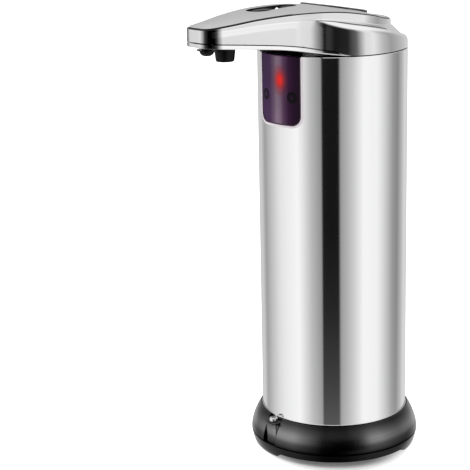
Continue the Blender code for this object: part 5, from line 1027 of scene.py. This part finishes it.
def base_cover():
    low_outer = RING_RADIUS - COVER_RIM_TAPER
    wall_outer = RING_RADIUS - RING_WALL - GAP
    foot_outer = low_outer - COVER_RIM_TAPER
    profile = stepped(0.0, COVER_Z, foot_outer - FOOT_WIDTH, FOOT_Z, foot_outer) + [(low_outer, COVER_Z)]
    profile += stepped(RING_RADIUS, COVER_RIM_TOP, wall_outer, COVER_RIM_TOP + COVER_WALL_HEIGHT,
                       wall_outer - COVER_WALL, COVER_FLOOR, 0.0)
    profile = rounded(profile, {3: COVER_RIM_EDGE, 5: COVER_RIM_EDGE})
    half_foot = (pi - FOOT_GAP_ANGLE) / 2 - FOOT_GAP_FLARE
    tools = []
    for middle in (FOOT_GAP_CENTRE, FOOT_GAP_CENTRE + pi):
        tools.append((foot_gap(middle), CUT))
        for end in (-1, 1):
            seat = middle + pi / 2 + end * half_foot * PAD_PLACE_SHARE
            tools.append((pad_seat(seat), CUT))
    column_top = RING_TOP - COLUMN_TOP_DROP
    outline = []
    for x, y in ellipse(1.0, 1.0):
        if y * COLUMN_DEPTH <= MERGE:
            outline.append((COLUMN_HALF_WIDTH * copysign(abs(x) ** COLUMN_CORNER_POWER, x),
                            COLUMN_DEPTH * copysign(abs(y) ** COLUMN_CORNER_POWER, y) - LATCH_BACK))
    tools.append((prism(outline, COVER_Z + MIN_STEP, column_top, LATCH_ANGLE), JOIN))
    screw = (LATCH_SCREW_Y * -sin(LATCH_ANGLE), LATCH_SCREW_Y * cos(LATCH_ANGLE))
    hole = rod(SCREW_SHANK_RADIUS + GAP, column_top - OVERRUN, column_top + OVERRUN, TINY_STEPS, screw)
    tools.append((hole, CUT))
    baked("base_cover_satin", turned(profile, ROUND_STEPS), "base_black_satin", ("base_cover",), tools,
          "battery_door")


def base_screw():
    """Pan-head screw with a cross recess."""
    low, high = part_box("base_screw")
    x, y = (low[0] + high[0]) / 2, (low[1] + high[1]) / 2 - AXIS_Y
    seat = high[2] - SCREW_HEAD_HEIGHT
    profile = stepped(0.0, low[2], SCREW_SHANK_RADIUS, seat, SCREW_HEAD_RADIUS, high[2], 0.0)
    profile = rounded(profile, {4: SCREW_HEAD_HEIGHT / 2})
    tools = []
    for length, width in ((SCREW_SLOT_LENGTH, SCREW_SLOT_WIDTH), (SCREW_SLOT_WIDTH, SCREW_SLOT_LENGTH)):
        outline = [(x + sx * length / 2, y + sy * width / 2) for sx, sy in SQUARE]
        tools.append((prism(outline, high[2] - SCREW_SLOT_DEPTH, high[2] + OVERRUN), CUT))
    baked("base_screw_crossed", turned(profile, SMALL_STEPS, (x, y)), "screw_plate", ("base_screw",),
          tools)


# Finishes

def feed(tree, node, inputs):
    """Set a node's inputs, each to a value or to another node's output."""
    for socket, value in inputs.items():
        if isinstance(value, bpy.types.NodeSocket):
            tree.links.new(value, node.inputs[socket])
        else:
            node.inputs[socket].default_value = value


def add_node(tree, kind, output, inputs, **settings):
    """A node with its settings and inputs; gives one of its outputs."""
    made = tree.nodes.new("ShaderNode" + kind)
    for name, value in settings.items():
        setattr(made, name, value)
    feed(tree, made, inputs)
    return made.outputs[output]


def math_node(tree, operation, *sources):
    return add_node(tree, "Math", "Value", dict(enumerate(sources)), operation=operation)


def level_mix(tree, share, first, second):
    return add_node(tree, "Mix", "Result", {"Factor": share, "A": first, "B": second}, data_type="FLOAT")


def colour_product(tree, first, second):
    return add_node(tree, "Mix", MIX_COLOUR, {"Factor": 1.0, MIX_FIRST: first, MIX_SECOND: second},
                    data_type="RGBA", blend_type="MULTIPLY")


def colour_ramp(tree, source, stops):
    """Colours over a value; the first two stops take the ramp's own ends."""
    ramp = tree.nodes.new("ShaderNodeValToRGB")
    elements = ramp.color_ramp.elements
    for i, (position, colour) in enumerate(stops):
        element = elements[i] if i < 2 else elements.new(position)
        element.position = position
        element.color = (*colour, 1.0)
    tree.links.new(source, ramp.inputs["Fac"])
    return ramp.outputs["Color"]


def greys(stops):
    return [(place, (level,) * 3) for place, level in stops]


def grey_ramp(tree, source, stops, limit):
    """Greys over a value that runs from -limit to limit; the source is its share of that range."""
    return colour_ramp(tree, source, greys(((value + limit) / (2 * limit), level)
                                           for value, level in stops))


def split(tree, vector):
    parts = tree.nodes.new("ShaderNodeSeparateXYZ")
    feed(tree, parts, {"Vector": vector})
    return [parts.outputs[axis] for axis in "XYZ"]


def turn_share(tree, x, y):
    """Angle round the upright axis, from -Y towards +X, as a share of the turn from -180 degrees."""
    angle = math_node(tree, "ARCTAN2", x, math_node(tree, "MULTIPLY", y, -1.0))
    return math_node(tree, "MULTIPLY_ADD", angle, 1 / (2 * pi), 0.5)


def new_material(name, colour, roughness, metal=0.0):
    """A Principled material and its nodes, ready for more."""
    made = bpy.data.materials.new(name)
    made.use_nodes = True
    tree = made.node_tree
    shader = tree.nodes["Principled BSDF"]
    feed(tree, shader, {"Base Color": (*colour, 1.0), "Roughness": roughness, "Metallic": metal})
    return made, tree, shader


def mapped(tree, scale, place=(0.0, 0.0, 0.0)):
    coords = add_node(tree, "TexCoord", "Object", {})
    return add_node(tree, "Mapping", "Vector", {"Vector": coords, "Scale": scale, "Location": place})


def grain(tree, scale, stretch=(1.0, 1.0, 1.0), detail=1.0):
    """Noise in the object's own coordinates."""
    return add_node(tree, "TexNoise", "Fac",
                    {"Vector": mapped(tree, stretch), "Scale": scale, "Detail": detail})


def spread(tree, source, values, limits=NOISE_RANGE, **settings):
    """Noise, or another value, drawn out from its limits to two values."""
    return add_node(tree, "MapRange", "Result",
                    {"Value": source, "From Min": limits[0], "From Max": limits[1],
                     "To Min": values[0], "To Max": values[1]}, **settings)


def tinted(tree, source, tints):
    """Noise as a colour between two tints."""
    return colour_ramp(tree, source, zip(NOISE_RANGE, tints))


def bumped(tree, source, strength):
    return add_node(tree, "Bump", "Normal",
                    {"Height": source, "Strength": strength, "Distance": RELIEF_DEPTH})


def placed(tree, centre, half_sizes):
    """Object coordinates counted from a centre, in units of the half sizes."""
    return mapped(tree, [1 / size for size in half_sizes],
                  [-place / size for place, size in zip(centre, half_sizes)])


def ball_ramp(tree, centre, half_sizes, stops):
    """Colour by closeness to a point: 0 at the ball's edge, 1 in its middle."""
    near = add_node(tree, "TexGradient", "Fac", {"Vector": placed(tree, centre, half_sizes)},
                    gradient_type="SPHERICAL")
    return colour_ramp(tree, near, stops)


def scaled(colour, share):
    return tuple(channel * share for channel in colour)


def mottled(name):
    """Moulded or plated finish of the table: fine grain in colour, gloss and relief."""
    colour, roughness, *own = FINISHES[name]
    metal, size, relief, contrast = own + list(PLAIN_GRAIN[len(own):])
    made, tree, shader = new_material(name, colour, roughness, metal)
    fine = grain(tree, size, detail=FINE_DETAIL)
    broad = grain(tree, BROAD_GRAIN)
    tints = [scaled(colour, 1 + swing) for swing in (-contrast, contrast)]
    inputs = {"Base Color": tinted(tree, broad, tints),
              "Roughness": spread(tree, fine, [roughness * share for share in GLOSS_SHARES]),
              "Normal": bumped(tree, fine, relief)}
    if name in SPECULAR:
        inputs["Specular IOR Level"] = SPECULAR[name]
    feed(tree, shader, inputs)
    return made


def polished_steel():
    """Bright rolled steel with a faint upright grain."""
    made, tree, shader = new_material("polished_steel_grain", *STEEL)
    lines = grain(tree, *STEEL_GRAIN)
    feed(tree, shader, {"Base Color": tinted(tree, lines, STEEL_TINTS),
                        "Roughness": spread(tree, lines, STEEL_GLOSS)})
    return made


def chrome():
    """Plated plastic: very smooth, with a painted dark reflection at the spout's corners, and duller in
    the hollows.
    """
    made, tree, shader = new_material("chrome_plate", *CHROME)
    broad = grain(tree, CHROME_GRAIN)
    colour = tinted(tree, broad, CHROME_TINTS)
    gloss = spread(tree, broad, CHROME_GLOSS)
    for side in (-1, 1):
        # painted dark reflection: the colour darkens towards each front corner of the spout
        corner = at(side * NOSE_PAINTED_REFLECTION_X, NOSE_PAINTED_REFLECTION_Y, HEAD_Z + NOSE_RISE)
        painted_dark_reflection = ball_ramp(tree, corner, (NOSE_PAINTED_REFLECTION_RADIUS, NOSE_PAINTED_REFLECTION_RADIUS, HEAD_Z), greys(NOSE_PAINTED_DARK_REFLECTION))
        colour = colour_product(tree, colour, painted_dark_reflection)
        bend = at(side * BEND_X, BEND_Y, HEAD_Z + NOSE_RISE)
        dull = ball_ramp(tree, bend, (BEND_RADIUS, BEND_RADIUS, HEAD_Z), greys(BEND_DULL))
        gloss = math_node(tree, "ADD", gloss, dull)
    feed(tree, shader, {"Base Color": colour, "Roughness": gloss})
    return made


def base_black():
    """Dark lacquer with a painted sheen in a band part way up the ring and painted shade on the side away
    from both lamps.
    """
    made, tree, shader = new_material("base_black_satin", *BASE)
    x, y, z = split(tree, placed(tree, at(0.0, 0.0, FOOT_Z), (RING_TOP - FOOT_Z,) * 3))
    fine = grain(tree, BASE_GRAIN, detail=FINE_DETAIL)
    painted_sheen = colour_product(tree, colour_ramp(tree, z, BASE_PAINTED_SHEEN), tinted(tree, fine, BASE_TINTS))
    # painted shade on the side away from both lamps
    around = grey_ramp(tree, turn_share(tree, x, y), BASE_PAINTED_SHADE_ROUND, HALF_TURN)
    feed(tree, shader, {"Base Color": colour_product(tree, painted_sheen, around),
                        "Roughness": spread(tree, fine, BASE_GLOSS),
                        "Normal": bumped(tree, fine, BASE_RELIEF)})
    return made


def window_tint():
    """Violet lens over the board: painted light, paler in front of the lamp and glowing red round it, and
    darker over the two eyes.
    """
    made, tree, shader = new_material("window_violet", WINDOW_COLOUR, WINDOW_ROUGHNESS)
    across = split(tree, placed(tree, (0.0, 0.0, 0.0), (2 * WINDOW_HALF_WIDTH,) * 3))[0]
    # painted light: the lens is paler in front of the lamp
    painted_light_bands = colour_ramp(tree, math_node(tree, "ADD", across, 0.5), WINDOW_PAINTED_LIGHT_BANDS)
    colour = colour_product(tree, painted_light_bands, tinted(tree, grain(tree, WINDOW_GRAIN), WINDOW_TINTS))
    for x in EYE_PLACES:
        eye = at(x, -sqrt(SLEEVE_RADIUS ** 2 - x * x), HEAD_Z - EYE_DROP)
        colour = colour_product(tree, colour, ball_ramp(tree, eye, (EYE_RADIUS,) * 3, EYE_RING))
    # painted glow: the lens glows round the lamp's place
    lamp_place = at(GLOW_X, -SLEEVE_RADIUS, HEAD_Z - LED_DROP)
    glow_size = (GLOW_HALF_WIDTH, 4 * GLOW_HALF_WIDTH, GLOW_HALF_HEIGHT)
    colour = colour_product(tree, colour, ball_ramp(tree, lamp_place, glow_size, PAINTED_GLOW_SHADE))
    feed(tree, shader, {"IOR": WINDOW_IOR, "Transmission Weight": WINDOW_CLEAR,
                        "Specular IOR Level": WINDOW_SPECULAR, "Base Color": colour,
                        "Emission Color": ball_ramp(tree, lamp_place, glow_size, PAINTED_GLOW_STOPS),
                        "Emission Strength": 1.0})
    return made


def glowing(name):
    colour, strength, roughness = LAMPS[name]
    made, tree, shader = new_material(name, colour, roughness)
    cloud = grain(tree, LAMP_GRAIN, detail=FINE_DETAIL)
    feed(tree, shader, {"Base Color": tinted(tree, cloud, (scaled(colour, LAMP_SHADE), colour)),
                        "Emission Color": (*colour, 1.0), "Emission Strength": strength})
    return made


OWN_FINISHES = {"polished_steel_grain": polished_steel, "chrome_plate": chrome,
                "base_black_satin": base_black, "window_violet": window_tint}


@cache
def finish(name):
    """The finish of a name, made once."""
    if name in OWN_FINISHES:
        return OWN_FINISHES[name]()
    return glowing(name) if name in LAMPS else mottled(name)


def dress_model():
    """Finishes of the model's own pieces, by what each is made of."""
    for name, nodes in DRESSED.items():
        for node in nodes.split():
            target = bpy.data.objects[node]
            for slot in target.material_slots:
                slot.material = finish(name)
            if not target.material_slots:
                target.data.materials.append(finish(name))


# Studio

def camera():
    data = bpy.data.cameras.new("camera")
    data.lens = CAMERA_LENS
    data.sensor_width = SENSOR_WIDTH
    data.clip_start = CLIP_START
    made = bpy.data.objects.new("camera", data)
    bpy.context.scene.collection.objects.link(made)
    forward = Vector((sin(CAMERA_YAW) * cos(CAMERA_PITCH),
                      cos(CAMERA_YAW) * cos(CAMERA_PITCH), -sin(CAMERA_PITCH)))
    right = Vector((cos(CAMERA_YAW), -sin(CAMERA_YAW), 0.0))
    up = right.cross(forward)
    turn = Matrix.Rotation(CAMERA_AZIMUTH, 3, "Z")
    rolled_right = turn @ (right * cos(CAMERA_ROLL) + up * sin(CAMERA_ROLL))
    rolled_up = turn @ (up * cos(CAMERA_ROLL) - right * sin(CAMERA_ROLL))
    rotation = Matrix((rolled_right, rolled_up, turn @ -forward)).transposed().to_4x4()
    place = turn @ Vector((0.0, -CAMERA_DISTANCE, CAMERA_HEIGHT))
    made.matrix_world = Matrix.Translation(at(*place)) @ rotation
    bpy.context.scene.camera = made


def floor():
    """White sweep with the lamp's soft shadow and a painted shadow, its glow for the camera dimmed round
    the base; metal mirrors the studio instead.
    """
    half = FLOOR_SIZE / 2
    shape = bmesh.new()
    shape.faces.new([shape.verts.new((x * half, y * half, 0.0)) for x, y in SQUARE])
    made = linked("floor", shape)
    white, tree, shader = new_material("floor_white", (FLOOR_COLOUR,) * 3, FLOOR_ROUGHNESS)
    middle = at(FLOOR_GLOW_AHEAD * sin(CAMERA_AZIMUTH), -FLOOR_GLOW_AHEAD * cos(CAMERA_AZIMUTH), 0.0)
    away = add_node(tree, "VectorMath", "Value", {0: placed(tree, middle, (1.0, 1.0, 1.0))},
                    operation="LENGTH")
    # painted shadow: less glow near the base
    glow_beyond_painted_shadow = spread(tree, away, (FLOOR_GLOW_NEAR, FLOOR_GLOW_FAR), (FLOOR_GLOW_START, FLOOR_GLOW_END),
                    interpolation_type="SMOOTHSTEP")
    seen = add_node(tree, "LightPath", "Is Camera Ray", {})
    feed(tree, shader, {"Specular IOR Level": 0.0, "Emission Color": WHITE,
                        "Emission Strength": math_node(tree, "MULTIPLY", seen, glow_beyond_painted_shadow)})
    made.data.materials.append(white)
    made.visible_glossy = False


def studio():
    """White room: plain light, and tall soft boxes with a dark gap for the metal to mirror."""
    world = bpy.data.worlds.new("studio")
    bpy.context.scene.world = world
    world.use_nodes = True
    tree = world.node_tree
    coords = add_node(tree, "TexCoord", "Generated", {})
    spun = add_node(tree, "VectorRotate", "Vector", {"Vector": coords, "Angle": -CAMERA_AZIMUTH},
                    rotation_type="Z_AXIS")
    x, y, z = split(tree, spun)
    turn = turn_share(tree, x, y)
    height = math_node(tree, "MULTIPLY_ADD", z, 0.5, 0.5)
    around, level = [grey_ramp(tree, turn, stops, HALF_TURN) for stops in (MIRROR_ROUND, MIRROR_LEVEL)]
    below, above, blend = [grey_ramp(tree, height, stops, 1)
                           for stops in (MIRROR_BELOW, MIRROR_ABOVE, LEVEL_BLEND)]
    room = level_mix(tree, blend, around, level)
    room = level_mix(tree, math_node(tree, "MAXIMUM", below, above), room, MIRROR_WHITE)
    room = level_mix(tree, add_node(tree, "LightPath", "Is Glossy Ray", {}), SKY_LEVEL, room)
    room = level_mix(tree, add_node(tree, "LightPath", "Is Camera Ray", {}), room, 1.0)
    feed(tree, tree.nodes["Background"], {"Color": WHITE, "Strength": room})


def lamp():
    data = bpy.data.lights.new("overhead_lamp", "AREA")
    data.shape = "DISK"
    data.size = LAMP_SIZE
    data.energy = LAMP_POWER
    made = bpy.data.objects.new("overhead_lamp", data)
    made.location = LAMP_PLACE
    aim = Vector((0.0, 0.0, HEAD_Z / 2)) - Vector(LAMP_PLACE)
    made.rotation_mode = "QUATERNION"
    made.rotation_quaternion = aim.to_track_quat("-Z", "Y")
    made.visible_glossy = False
    bpy.context.scene.collection.objects.link(made)


bpy.context.scene.view_settings.view_transform = "Standard"
camera()
studio()
floor()
lamp()
dress_model()
sleeve()
window()
base_ring()
base_cover()
base_screw()
head_shell()
head_plate()
head_cover()
fill_cap()
button_panel()
buttons()
status_lens()
nozzle()
valve_cup()
